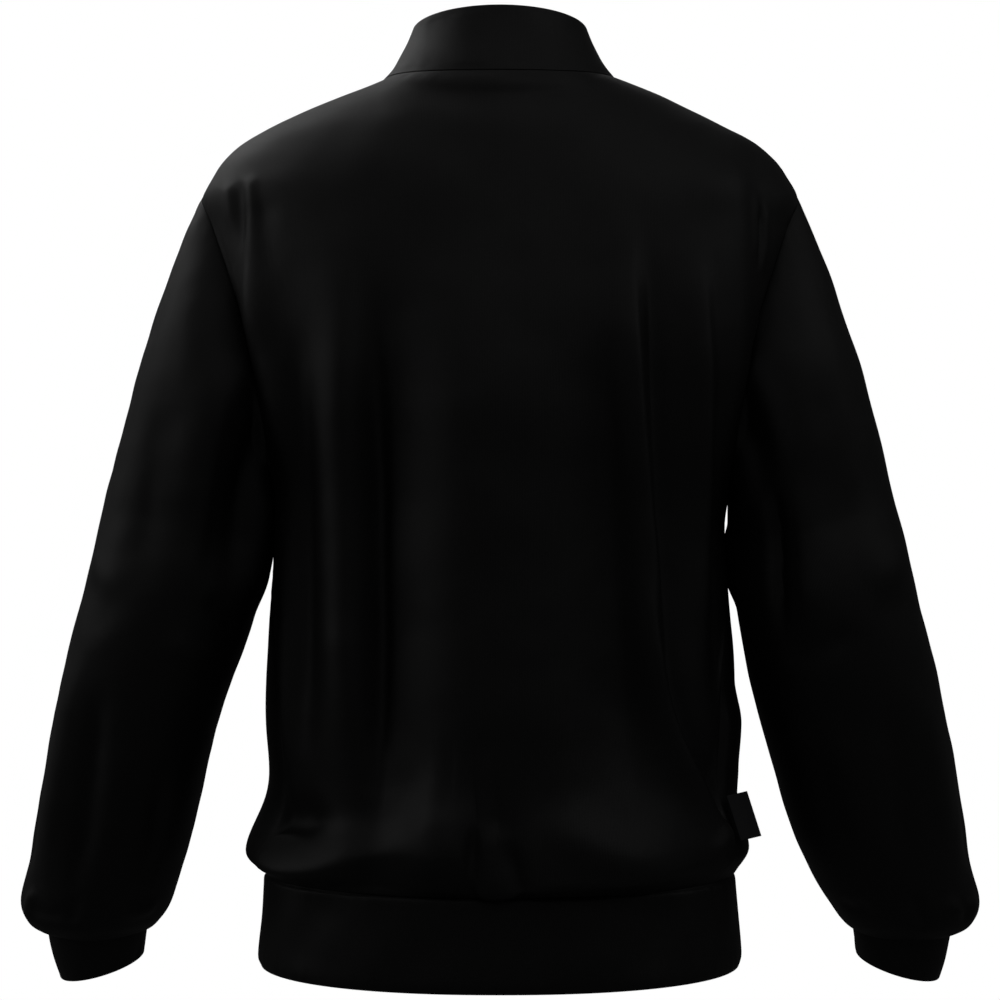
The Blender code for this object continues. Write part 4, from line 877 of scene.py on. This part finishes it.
def stand_collar():
    """Grid of the collar, from its right front edge round the back to its left, rows going up.

    Each column is a cubic from the neck seam to an oval top edge. The oval is a level ellipse whose
    front is drawn back and lowered by powers of how far forward the point lies.
    """
    share = np.arange(NECK_COLUMNS + 1) / COLUMNS_ACROSS
    x_front, x_behind = (top_edge(share, side)[0] for side in (-1, 1))
    x_back = np.concatenate([-x_behind[:0:-1], x_behind])
    ahead = torso(x_front, neckline_z(x_front, -1), -1)
    behind = torso(x_back, neckline_z(x_back, 1), 1)
    base = np.concatenate([ahead[:-1] * np.array([-1, 1, 1]), behind, ahead[-2::-1]])
    base = base + np.array([0, 0, 2 * SEAM_GAP])
    angle = np.arctan2(base[:, 1] - COLLAR_CENTRE_Y, base[:, 0] * COLLAR_OVAL)
    forward = np.clip(-np.sin(angle), 0, 1)
    top_x = COLLAR_HALF_WIDTH * np.cos(angle)
    top_y = COLLAR_HALF_DEPTH * np.sin(angle) + COLLAR_SHIFT - COLLAR_DRAWN_BACK * forward
    top_z = COLLAR_HEIGHT + COLLAR_RAISED * np.clip(np.sin(angle), 0, 1) - COLLAR_LOWERED * forward**1.5
    top = np.stack([top_x, top_y, top_z], axis=-1)
    top[[0, -1], 0] = base[[0, -1], 0]
    inward, upward = ((top - base) * np.array(way) for way in ((1, 1, 0), (0, 0, 1)))
    aside = np.abs(np.cos(angle))[:, None]
    slopes = (
        inward * (1 + COLLAR_FLARE * aside) + upward * (1 - COLLAR_SLOW_RISE * aside),
        inward * COLLAR_TOP_SLOPE[0] + upward * COLLAR_TOP_SLOPE[1],
    )
    length = np.linalg.norm(top - base, axis=1, keepdims=True)
    leave, arrive = (slope * length / np.linalg.norm(slope, axis=1, keepdims=True) for slope in slopes)
    points = hermite(base, leave, top, arrive, np.linspace(0, 1, COLLAR_ROWS)[:, None, None])
    u, v = lengths(points)
    lift = uneven(u, v, 0.07, 0.0005, 41) + uneven(u, v, 0.03, 0.00012, 42)
    return sewn(points, lift, u, 43, -1, pucker=0.0002, hold=0.008)


collar_grid = stand_collar()
collar = sew("collar_cloth", collar_grid, DOUBLE_WALL, BODY_CLOTH, rounding=DOUBLE_ROUNDING)
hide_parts("collar")
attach(collar, "sweatshirt")

# ---- Hem band ----
# A tube of the same jersey folded double along its lower edge and sewn to the body, which is wider and
# gathers over it. It lies smooth, and its top edge is tucked up behind the body's.
BAND = table(
    Ring,
    (-0.6346, 0, -0.006, 0.1870, 0.1275, 0, 0, 0),
    (-0.6366, 0, -0.006, 0.1872, 0.1277, 0, 0, 0),
    (-0.6395, 0, -0.006, 0.1893, 0.1298, 0, 0, 0),
    (-0.6480, 0, -0.006, 0.1902, 0.1303, 0, 0, 0),
    (-0.6700, 0, -0.006, 0.1920, 0.1310, 0, 0, 0),
    (-0.7000, 0, -0.006, 0.1945, 0.1320, 0, 0, 0),
    (-0.7090, 0, -0.006, 0.1925, 0.1300, 0, 0, 0),
)
BAND_TURNS = 360
BAND_ROWS = 37
BAND_CREASES = table(
    Crease,
    (0.168, -0.630, 0.172, -0.670, 0.176, -0.712, 0.034, 0.026, 0.0030),
    (0.236, -0.632, 0.240, -0.668, 0.238, -0.710, 0.024, 0.030, -0.0022),
    (0.440, -0.630, 0.448, -0.670, 0.452, -0.712, 0.030, 0.036, 0.0022),
    (0.790, -0.630, 0.786, -0.668, 0.790, -0.710, 0.030, 0.030, 0.0024),
    (0.980, -0.630, 0.984, -0.668, 0.978, -0.710, 0.030, 0.034, -0.0020),
)


def knitted_tube(tube, rows, turns, seed, creases=(), power=2.0):
    """Grid of a band or cuff: its rings, a little uneven, rippled where the seam gathers into it."""
    angles = np.linspace(0, 2 * np.pi, turns, endpoint=False)
    points = rings(tube, rows, angles, power=power)
    around = angles * tube[0].half_width + 0 * points[..., 2]
    lift = creased(around, points[..., 2], creases) + uneven(around, points[..., 2], 0.06, 0.0004, seed)
    return sewn(
        points, lift, around, seed + 1, -1, pucker=0.0004, hold=0.006, reach=0.012, closed=True
    )


band_grid = knitted_tube(BAND, BAND_ROWS, BAND_TURNS, 51, BAND_CREASES, power=SECTIONS[0].back_power)
band = sew("hem_band_cloth", band_grid, DOUBLE_WALL, BODY_CLOTH, closed=True, rounding=DOUBLE_ROUNDING)
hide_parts("hem_band")
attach(band, "sweatshirt")

# ---- Cuffs ----
# Tubes of the same jersey folded double, sewn to the sleeve ends. They stand slanted, lower on their outer
# side, because the sleeves bend.
CUFF = table(
    Ring,
    (-0.6803, 0.3365, -0.0620, 0.0418, 0.0412, -4, 8, 0),
    (-0.6980, 0.3350, -0.0650, 0.0402, 0.0396, -8, 8, 0),
    (-0.7130, 0.3342, -0.0675, 0.0382, 0.0378, -11, 8, 0),
    (-0.7255, 0.3330, -0.0695, 0.0355, 0.0352, -14, 8, 0),
)
CUFF_TURNS = 132
CUFF_ROWS = 33
for side_name, hand in (("left", 1), ("right", -1)):
    grid = knitted_tube(CUFF, CUFF_ROWS, CUFF_TURNS, 61 + hand) * np.array([hand, 1, 1])
    name = f"cuff_{side_name}_cloth"
    cuff = sew(name, grid, DOUBLE_WALL, BODY_CLOTH, closed=True, rounding=DOUBLE_ROUNDING)
    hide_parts(f"cuff_{side_name}")
    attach(cuff, "sweatshirt")

# ---- Zip ----
# Two woven tapes, sewn behind the slit and the collar's front edges, carry a closed chain of moulded teeth
# that alternate left and right. A stop ends it below, and two more above the slider.
TAPE_WIDTH = 0.012
TAPE_INNER = 0.0005
TAPE_WALL = 0.0006
TAPE_ROUNDING = 0.0002
TAPE_TAIL = 0.010
TAPE_BELOW_TOP = 0.0006
TAPE_CLEARANCE = 0.0005
RAIL_FROM = 8  # rows of the front below the slit's end
RAIL_REACH = 4  # columns out from the slit's edge, over which the cloth's bend is measured
RAIL_STEPS = 400
RAIL_SOFT_STEPS = 9
RAIL_THICKENS = 0.006  # below the neck seam, from the panel's wall to the collar's
CHAIN_HALF = 0.0025
CHAIN_PROUD = 0.0006
TOOTH_PITCH = 0.00145
TOOTH_SUNK = 0.001
CHAIN_START = 0.0035
FIRST_TOOTH = 0.001
SLIDER_BELOW_TOP = 0.012
SLIDER_LENGTH = 0.0096


def zip_rail():
    """The cloth's outer face beside the zip: distance up the zip, y, z, their bends and the wall there.

    Across the zip the cloth is a parabola: y and z change with x squared from the slit's edge on. Up
    the zip the values are averaged over a few even steps, as a bell.
    """
    left = COLUMNS_ACROSS + SLIT_COLUMNS
    rows = []
    for strip in (front[slit_row - RAIL_FROM :, left:], collar_grid[1:, ::-1]):
        near, far = strip[:, 0], strip[:, RAIL_REACH]
        bend = (far - near) / (far[:, :1] ** 2 - near[:, :1] ** 2)
        rows.append(np.concatenate([near[:, 1:], bend[:, 1:]], axis=1))
    rail = np.concatenate(rows)
    distance = np.concatenate([[0], np.cumsum(np.hypot(*np.diff(rail[:, :2], axis=0).T))])
    even = np.linspace(0, distance[-1], RAIL_STEPS)
    soft = np.hanning(RAIL_SOFT_STEPS + 2)[1:-1]
    ends = {"pad_width": RAIL_SOFT_STEPS // 2, "mode": "reflect", "reflect_type": "odd"}
    parts = [
        np.convolve(np.pad(np.interp(even, distance, part), **ends), soft / soft.sum(), "valid")
        for part in rail.T
    ]
    seam = distance[len(rows[0])]
    wall = np.interp(even, [seam - RAIL_THICKENS, seam], [CLOTH_WALL, DOUBLE_WALL])
    return np.stack([even - np.interp(SLIT_Z, rail[:, 1], distance), *parts, wall])


RAIL = zip_rail()
ZIP_TOP = RAIL[0, -1]
SLIDER_PLACE = ZIP_TOP - SLIDER_BELOW_TOP


def on_zip(distance, x, out):
    """Points this far up the zip, across it, and out from the cloth's outer face along its normal.

    The normal is the cross product of the rail's slopes along and across the zip.
    """
    distance, x, out = np.broadcast_arrays(distance, x, out)
    y, z, bend_y, bend_z, _ = (np.interp(distance, RAIL[0], row) for row in RAIL[1:])
    rise_y, rise_z = (np.interp(distance, RAIL[0], np.gradient(row, RAIL[0])) for row in RAIL[1:3])
    beyond = np.abs(x) > SLIT_HALF_WIDTH
    square = np.where(beyond, x**2 - SLIT_HALF_WIDTH**2, 0)
    lean = np.where(beyond, 2 * x, 0) * (bend_y * rise_z - bend_z * rise_y)
    normal = np.stack([lean, -rise_z, rise_y], axis=-1)
    normal /= np.linalg.norm(normal, axis=-1, keepdims=True)
    return np.stack([x, y + bend_y * square, z + bend_z * square], axis=-1) + out[..., None] * normal


def tape_face(distance):
    """How far the tapes' outer face lies out from the cloth's outer face: behind its wall."""
    return -np.interp(distance, RAIL[0], RAIL[5]) - TAPE_CLEARANCE


def weave_group():
    """Node group for woven tape and ribbon on the piece's own UV map, in metres.

    The ribs are a sine wave across the cloth: of v alone, or of v and u together as their lean goes to
    1, which makes them diagonal. A fine noise adds the slubs, which also take the dye unevenly.
    """
    group, given = new_group("weave", {"Lean": 1.0, "Ribs": 360.0, "Slubs": 900.0}, ("Height", "Dye"))
    place = node(group, "ShaderNodeUVMap", (-1200, -300), uv_map="cloth").outputs["UV"]
    axes = node(group, "ShaderNodeSeparateXYZ", (-1000, -300), Vector=place).outputs
    lean = step(group, "MULTIPLY", (-800, 0), axes[0], given["Lean"])
    bands = node(group, "ShaderNodeCombineXYZ", (-600, 0), X=lean, Y=axes[1]).outputs[0]
    ribs = node(
        group, "ShaderNodeTexWave", (-400, 0), bands_direction="DIAGONAL", Scale=given["Ribs"], Vector=bands
    )
    slubs = node(group, "ShaderNodeTexNoise", (-400, -350), Scale=given["Slubs"], Detail=3.0, Vector=place)
    height = step(group, "ADD", (-150, 0), ribs.outputs["Fac"], slubs.outputs["Fac"])
    node(group, "NodeGroupOutput", (100, 0), Height=height, Dye=slubs.outputs["Fac"])
    return group


WEAVE = weave_group()


def woven_finish(name, rough, weave, darker, lighter, strength, depth):
    """Woven black polyester: the weave with its own values as bump, and its slubs between two dyes."""
    made, tree, shader = new_finish(name, Roughness=rough)
    woven = node(tree, "ShaderNodeGroup", (-700, 0), node_tree=WEAVE, **weave).outputs
    feed(shader["Base Color"], dyed(tree, (-400, 250), woven["Dye"], darker, lighter))
    feed(shader["Normal"], bumped(tree, (-400, -250), woven["Height"], strength, depth))
    return made


TWILL = {"Lean": 1.0, "Ribs": 360.0, "Slubs": 900.0}
TAPE_TWILL = woven_finish(
    "black_twill_tape", 0.62, TWILL, (0.006, 0.006, 0.0066, 1), (0.012, 0.012, 0.013, 1), 0.7, 0.00012
)
up_tape = np.linspace(-TAPE_TAIL, ZIP_TOP - TAPE_BELOW_TOP, 260)[:, None]
across_tape = np.linspace(TAPE_INNER, CHAIN_HALF + TAPE_WIDTH, 15)[None, :]
for side_name, hand in (("left", 1), ("right", -1)):
    grid = on_zip(up_tape, hand * across_tape, tape_face(up_tape))
    name = f"zip_tape_{side_name}_woven"
    tape = sew(name, grid, TAPE_WALL, TAPE_TWILL, np.array([0, -1, 0]), rounding=TAPE_ROUNDING)
    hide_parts(f"zip_tape_{side_name}")
    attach(tape, "sweatshirt")


def loft_faces(rows, columns):
    """Quads of a body of closed rings one behind another, with each end closed by strips across it."""
    row, col = (part.ravel() for part in np.meshgrid(range(rows - 1), range(columns), indexing="ij"))
    here, after = row * columns + col, row * columns + (col + 1) % columns
    strip = np.arange(columns // 2 - 1)
    cap = np.stack([strip, strip + 1, columns - 2 - strip, columns - 1 - strip], axis=1)
    sides = np.stack([here, after, after + columns, here + columns], axis=1)
    return np.concatenate([sides, cap[:, ::-1], cap + (rows - 1) * columns])


def cast(name, bodies, finish):
    """One piece of lofted bodies. Each body is an array of copies, rings, points round a ring, and xyz.

    The sign of a body's volume tells whether its faces have to be turned to point outwards.
    """
    points, faces, used = [], [], 0
    for body in bodies:
        copies, rows, columns = body.shape[:3]
        places = body.reshape(-1, 3)
        quads = loft_faces(rows, columns)[None] + (np.arange(copies) * rows * columns)[:, None, None]
        quads = quads.reshape(-1, 4)
        a, b, c, d = (places[quads[:, i]] for i in range(4))
        volume = (a * np.cross(b, c)).sum() + (a * np.cross(c, d)).sum()
        faces.append((quads if volume > 0 else quads[:, ::-1]) + used)
        points.append(places)
        used += len(places)
    return add_piece(name, np.concatenate(points), np.concatenate(faces), finish)


def rounded(turns, power):
    """Cosine and sine round a circle that is squared by this power, from half a step on."""
    angle = np.linspace(0, 2 * np.pi, turns, endpoint=False) + np.pi / turns
    return squared(np.stack([np.cos(angle), np.sin(angle)]), power)


def grain_group():
    """Node group for paint, plastic and thread: a fine noise grain, and a slow noise in the gloss."""
    group, given = new_group("grain", {"Glossiest": 0.3, "Dullest": 0.5}, ("Height", "Roughness"))
    place = node(group, "ShaderNodeTexCoord", (-1000, -200)).outputs["Object"]
    grain = node(group, "ShaderNodeTexNoise", (-750, -200), Scale=5000.0, Detail=2.0, Vector=place)
    handled = node(group, "ShaderNodeTexNoise", (-750, 100), Scale=260.0, Detail=4.0, Vector=place)
    rough = ranged(group, (-450, 100), handled.outputs["Fac"], given["Glossiest"], given["Dullest"])
    node(group, "NodeGroupOutput", (-200, 0), Height=grain.outputs["Fac"], Roughness=rough)
    return group


GRAIN = grain_group()


def grained_finish(name, colour, glossiest, dullest, metallic=0.0, coat=0.0):
    """Painted metal, moulded plastic or thread: the grain as bump, and its roughness between two values."""
    made, tree, shader = new_finish(
        name, Base_Color=colour, Metallic=metallic, Coat_Weight=coat, Coat_Roughness=0.25
    )
    grain = node(
        tree, "ShaderNodeGroup", (-700, 0), node_tree=GRAIN, Glossiest=glossiest, Dullest=dullest
    ).outputs
    feed(shader["Roughness"], grain["Roughness"])
    feed(shader["Normal"], bumped(tree, (-400, -200), grain["Height"], 0.25, 0.00003))
    return made


MOULDED = grained_finish("moulded_black_teeth", (0.011, 0.011, 0.012, 1), 0.30, 0.48)
# The rings of a tooth, from past the chain's middle out to its foot on the tape.
Slice = namedtuple("Slice", "past_middle half_height half_thickness")
TOOTH = table(
    Slice,
    (-0.0008, 0.00022, 0.00050),
    (-0.0006, 0.00040, 0.00080),
    (-0.0002, 0.00045, 0.00088),
    (0.0003, 0.00033, 0.00086),
    (0.0009, 0.00042, 0.00094),
    (0.0021, 0.00044, 0.00098),
    (0.0024, 0.00040, 0.00092),
    (0.0026, 0.00020, 0.00060),
)
ring_x, ring_up = rounded(8, 0.7)
across, height, thick = (column(TOOTH, name)[:, None] for name in Slice._fields)
chain = []
for hand in (1, -1):
    places = np.arange(CHAIN_START + FIRST_TOOTH, SLIDER_PLACE, TOOTH_PITCH) + (hand < 0) * TOOTH_PITCH / 2
    up = places[:, None, None] + height * ring_up
    out = tape_face(up) + CHAIN_PROUD - TOOTH_SUNK + thick * ring_x
    chain.append(on_zip(up, hand * across, out))
teeth = cast("zip_teeth", chain, MOULDED)
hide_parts("zip_chain")
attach(teeth, "sweatshirt")

PAINTED_METAL = grained_finish(
    "painted_black_metal", (0.014, 0.014, 0.015, 1), 0.26, 0.42, metallic=0.7, coat=0.3
)
STOP_ABOVE_SLIDER = 0.0010
STOP_BELOW_CHAIN = 0.0010
STOP_FULLNESS = 0.999


def stop_rings(middle, x_middle, half_x, half_up, half_out):
    """Rings of a small rounded block across the zip, like a pressed stop: a squared lens in section."""
    along = np.sin(np.linspace(-np.pi / 2, np.pi / 2, 13)[1:-1])[:, None]
    swell = STOP_FULLNESS * (1 - along**6) ** 0.5
    ring_out, ring_rise = rounded(16, 0.6)
    up = middle + half_up * swell * ring_rise
    out = tape_face(up) + CHAIN_PROUD / 2 + half_out * swell * ring_out
    return on_zip(up, x_middle + half_x * along, out)[None]


top_stop = SLIDER_PLACE + SLIDER_LENGTH / 2 + STOP_ABOVE_SLIDER
for name, middle, x_middle, half_x, half_up, half_out in (
    ("zip_stop_bottom", CHAIN_START - STOP_BELOW_CHAIN, 0.0, 0.0036, 0.0009, 0.0010),
    ("zip_stop_top_left", top_stop, 0.0025, 0.0012, 0.0009, 0.0009),
    ("zip_stop_top_right", top_stop, -0.0025, 0.0012, 0.0009, 0.0009),
):
    block = stop_rings(middle, x_middle, half_x, half_up, half_out)
    stop = cast(f"{name}_pressed", [block], PAINTED_METAL)
    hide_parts(name)
    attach(stop, "sweatshirt")

# ---- Slider ----
# Two die-cast plates joined by a wedge, with a bridge on the front one that holds the pull tab. It has run
# up the chain to just below the top stops.
PLATE_HALF_WIDTH = 0.0038
PLATE_THICKNESS = 0.0011
PLATE_FRONT = 0.0003
PLATE_BACK = -0.0023
PLATE_NARROWING = 0.10
PLATE_EDGE = 0.0004
PIN_OUT = 0.0023
BRIDGE_REACH = 0.0036
BRIDGE_RISE = 0.0024
BRIDGE_HALF_WIDTH = 0.0008
BRIDGE_HALF_BAR = 0.0004
BRIDGE_SUNK = 0.12  # radians its ends run on into the plate
SLOPE_OVER = 0.003  # up and down the zip from the slider, for the way that it faces
WEDGE_HALF = 0.0012
WEDGE_UP = 0.0026
WEDGE_SUNK = 0.0002
hinge = np.array(frame["joints"][0]["pos_m"], float)
slope = on_zip(SLIDER_PLACE + SLOPE_OVER * np.array([-1, 1]), 0.0, 0.0)
up_zip = (slope[1] - slope[0]) / np.linalg.norm(slope[1] - slope[0])
off_zip = np.array([0, -up_zip[2], up_zip[1]])
slider_middle = hinge - PIN_OUT * off_zip


def placed(origin, off, along, x, out, far):
    """Points from an origin: across to the wearer's left, out along one direction and far along another."""
    x, out, far = np.broadcast_arrays(x, out, far)
    return origin + x[..., None] * np.array([1, 0, 0]) + out[..., None] * off + far[..., None] * along


def at_slider(x, out, up):
    """Points in the slider's own directions: across, out from the chain's outer face, up the zip."""
    return placed(slider_middle, off_zip, up_zip, x, out, up)[None]


def plate_rings(low):
    """Rings of a plate with rounded edges: a squared oval, narrower below, drawn in at both faces."""
    turn = np.linspace(-np.pi / 2, np.pi / 2, 9)[:, None]
    inset = PLATE_EDGE * (1 - np.cos(turn))
    side, end = rounded(48, 0.62)
    x = (PLATE_HALF_WIDTH - inset) * side * (1 + PLATE_NARROWING * end)
    out = low + PLATE_THICKNESS * (1 + np.sin(turn)) / 2
    return at_slider(x, out, (SLIDER_LENGTH / 2 - inset) * end)


def bridge_rings():
    """Rings along the bridge: a squared half oval from plate to plate, of a squared bar."""
    turn = np.linspace(-BRIDGE_SUNK, np.pi + BRIDGE_SUNK, 25)[:, None]
    side, away = rounded(12, 0.6) * np.array([[BRIDGE_HALF_WIDTH], [BRIDGE_HALF_BAR]])
    out = PLATE_FRONT + PLATE_THICKNESS + BRIDGE_RISE * squared(np.sin(turn), 0.6)
    up = BRIDGE_REACH * squared(np.cos(turn), 0.6)
    return at_slider(side, out + np.sin(turn) * away, up + np.cos(turn) * away)


wedge_side, wedge_up = WEDGE_HALF * rounded(16, 0.6)
wedge_out = np.linspace(PLATE_BACK - WEDGE_SUNK, PLATE_FRONT + WEDGE_SUNK, 5)[:, None]
wedge = at_slider(wedge_side, wedge_out, WEDGE_UP + wedge_up)
plates = [plate_rings(low) for low in (PLATE_FRONT, PLATE_BACK - PLATE_THICKNESS)]
slider = cast("zip_slider_cast", [*plates, wedge, bridge_rings()], PAINTED_METAL)
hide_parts("zip_slider")
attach(slider, "sweatshirt")

# ---- Pull tab ----
# A flat stamped tab with a loop at its top, whose round cross pin turns under the bridge. It hangs down the
# chain, a little off the slider, and is smooth and blank.
TAB_LENGTH = 0.026
TAB_HALF_WIDTH = 0.0028
TAB_THICKNESS = 0.0011
TAB_TILT = 0.075
TAB_FLARE = 0.06
TAB_EDGE = 0.0003
LOOP_REACH = 0.0052
LOOP_SUNK = 0.0006
LOOP_HALF_WIDTH = 0.0020
LOOP_SQUARE = 0.45
LOOP_BAR = 0.0007
LOOP_THINNER = 0.00005
PIN_THINNER = 0.0002
PIN_SHARE = 0.55  # of the loop's half width
down_tab = -np.cos(TAB_TILT) * up_zip + np.sin(TAB_TILT) * off_zip
off_tab = np.cos(TAB_TILT) * off_zip + np.sin(TAB_TILT) * up_zip


def at_tab(x, out, down):
    """Points in the tab's own directions from its pin: across, out from its middle plane, down it."""
    return placed(hinge, off_tab, down_tab, x, out, down)[None]


def tab_plate():
    """Rings of the plate through its thickness: a squared oval, wider below, drawn in at both faces."""
    turn = np.linspace(-np.pi / 2, np.pi / 2, 9)[:, None]
    inset = TAB_EDGE * (1 - np.cos(turn))
    side, end = rounded(64, 0.5)
    half = (TAB_LENGTH - LOOP_REACH + LOOP_SUNK) / 2
    x = (TAB_HALF_WIDTH / (1 + TAB_FLARE) - inset) * side * (1 + TAB_FLARE * end)
    return at_tab(x, TAB_THICKNESS / 2 * np.sin(turn), TAB_LENGTH - half + (half - inset) * end)


def tab_loop():
    """Rings along the loop, a squared half oval over the pin, of a round bar that is thinner as the pin."""
    turn = np.linspace(0, np.pi, 33)[:, None]
    bar_side, bar_out = rounded(12, 0.8)
    bar = (LOOP_BAR - PIN_THINNER * np.exp(-((np.cos(turn) / PIN_SHARE) ** 4))) * bar_side
    x = LOOP_HALF_WIDTH * squared(np.cos(turn), LOOP_SQUARE) + np.cos(turn) * bar
    down = LOOP_REACH * (1 - squared(np.sin(turn), LOOP_SQUARE)) - np.sin(turn) * bar
    return at_tab(x, (TAB_THICKNESS / 2 - LOOP_THINNER) * bar_out, down)


tab = cast("pull_tab_stamped", [tab_plate(), tab_loop()], PAINTED_METAL)
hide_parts("pull_tab")
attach(tab, "pull_tab")

# ---- Topstitching of the zip ----
# One run of black polyester thread goes down one side of the slit, across below the bottom stop and up the
# other side, and holds the tapes to the cloth.
STITCH_LENGTH = 0.0026
STITCH_STEP = 0.0032
STITCH_X = 0.0102
STITCH_LOW = -0.006
STITCH_HIGH = ZIP_TOP - 0.004
STITCH_PROUD = 0.00012
STITCH_DIVE = 0.00045
THREAD_RADIUS = 0.00024
THREAD_TAPER = 0.6
THREAD = grained_finish("black_thread", (0.010, 0.010, 0.011, 1), 0.45, 0.60)
leg = STITCH_HIGH - STITCH_LOW
run = np.arange(STITCH_STEP / 2, 2 * (leg + STITCH_X), STITCH_STEP)[:, None, None]
along = np.linspace(-0.98, 0.98, 7)[None, :, None]
place = run + along * STITCH_LENGTH / 2
stitch_x = np.clip(place - leg, 0, 2 * STITCH_X) - STITCH_X
stitch_up = STITCH_HIGH - np.clip(place, 0, leg) + np.clip(place - leg - 2 * STITCH_X, 0, leg)
on_leg = np.where((run < leg) | (run > leg + 2 * STITCH_X), 1.0, 0.0)
radius = THREAD_RADIUS * (1 - along**4 * THREAD_TAPER)
ring_side, ring_out = (radius * part for part in rounded(8, 1.0))
out = STITCH_PROUD - STITCH_DIVE * along**4 + ring_out
stitch_rings = on_zip(stitch_up + (1 - on_leg) * ring_side, stitch_x + on_leg * ring_side, out)
stitches = cast("zip_topstitch", [stitch_rings], THREAD)
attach(stitches, "sweatshirt")

# ---- Side label ----
# A blank woven ribbon folded double, its two ends sewn into the right side seam above the hem. It stands
# straight out of the seam.
LABEL_WIDTH = 0.0165
LABEL_HALF = 0.0005
LABEL_PLY = 0.00034
LABEL_ROUNDING = 0.0001
LABEL_FOOT = np.array([-0.1884, 0.0549, -0.6035])
LABEL_HEAD = np.array([-0.1775, 0.0516, -0.5688])
LABEL_RUN = np.array([-0.972, 0.0, 0.235])
LABEL_BOW = 0.0006


def folded_ribbon():
    """Grid of the ribbon: rows up it, columns out along one ply, round the fold and back.

    The fold is a half circle as wide as both plies, and a slow sine bow keeps it from being a card.
    """
    up = np.linspace(0, 1, 41)[:, None, None]
    flat = np.linspace(0, LABEL_WIDTH - LABEL_HALF, 16)
    bend = np.linspace(np.pi / 2, -np.pi / 2, 11)[1:-1]
    out = np.concatenate([flat, flat[-1] + LABEL_HALF * np.cos(bend), flat[::-1]])[None, :, None]
    side = LABEL_HALF * np.concatenate([0 * flat + 1, np.sin(bend), 0 * flat - 1])[None, :, None]
    face = np.cross(LABEL_HEAD - LABEL_FOOT, LABEL_RUN)
    face = face / np.linalg.norm(face)
    bow = LABEL_BOW * np.sin(np.pi * out / LABEL_WIDTH) * (0.4 + 0.6 * np.sin(np.pi * up))
    return LABEL_FOOT + up * (LABEL_HEAD - LABEL_FOOT) + out * LABEL_RUN + (side + bow) * face


SATIN = {"Lean": 0.0, "Ribs": 660.0, "Slubs": 700.0}
LABEL_SATIN = woven_finish(
    "black_satin_label", 0.50, SATIN, (0.020, 0.020, 0.0215, 1), (0.030, 0.030, 0.032, 1), 0.5, 0.00008
)
label = sew("side_label_ribbon", folded_ribbon(), LABEL_PLY, LABEL_SATIN, rounding=LABEL_ROUNDING)
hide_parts("side_label")
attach(label, "sweatshirt")

# ---- Studio ----
# A pale floor well below the garment and white all round for the camera. The key light stands past the
# wearer's left shoulder in front, so it rakes over the back; weaker ones fill from all sides.
FLOOR_HALF = 3.0
FLOOR_Z = -1.45
PALE = (0.80, 0.80, 0.79, 1)
corners = np.array([(-1, -1, 0), (1, -1, 0), (1, 1, 0), (-1, 1, 0)]) * FLOOR_HALF + np.array([0, 0, FLOOR_Z])
paint, _, _ = new_finish(
    "pale_floor", Base_Color=PALE, Roughness=0.8, Emission_Color=PALE, Emission_Strength=0.85
)
floor = add_piece("studio_floor", corners, np.array([[0, 1, 2, 3]]), paint)
floor.visible_diffuse = floor.visible_glossy = False

world = bpy.data.worlds.new("studio")
bpy.context.scene.world = world
world.use_nodes = True
sky = world.node_tree
sky.nodes.clear()
WHITE = (1, 1, 1, 1)
ray = node(sky, "ShaderNodeLightPath", (-600, 200))
seen = node(sky, "ShaderNodeBackground", (-300, 0), Color=WHITE, Strength=1.0)
lighting = node(sky, "ShaderNodeBackground", (-300, -200), Color=WHITE, Strength=0.03)
choose = node(sky, "ShaderNodeMixShader", (0, 0))
for socket, value in zip(choose.inputs, (ray.outputs["Is Camera Ray"], lighting.outputs[0], seen.outputs[0])):
    feed(socket, value)
node(sky, "ShaderNodeOutputWorld", (200, 0), Surface=choose.outputs[0])

AIM = (0, 0, -0.35)
for name, place, size, power in (
    ("key_over_left_shoulder", (1.246, -1.045, 1.276), 1.2, 8.0),
    ("over_front", (0, -1.626, 1.276), 1.2, 2.0),
    ("side_left", (2.150, 0.120, 0.440), 1.2, 3.1),
    ("side_right", (-1.720, 0.800, 0.950), 1.2, 1.9),
    ("wide_back", (0, 1.626, 1.276), 2.4, 2.2),
    ("overhead", (0, 0.02, 1.95), 1.2, 0.8),
):
    light = bpy.data.lights.new(name, "AREA")
    light.size = size
    light.energy = power
    lamp = bpy.data.objects.new(name, light)
    lamp.location = place
    lamp.rotation_euler = (Vector(AIM) - Vector(place)).to_track_quat("-Z", "Y").to_euler()
    bpy.context.scene.collection.objects.link(lamp)

lens = bpy.data.cameras.new("camera")
lens.sensor_width = 36.0
lens.lens = 80.35
lens.clip_end = 50
camera = bpy.data.objects.new("camera", lens)
camera.location = (0, 1.80, -0.337)
camera.rotation_euler = (np.pi / 2, 0, np.pi)
bpy.context.scene.collection.objects.link(camera)
bpy.context.scene.camera = camera
bpy.context.scene.view_settings.view_transform = "Standard"
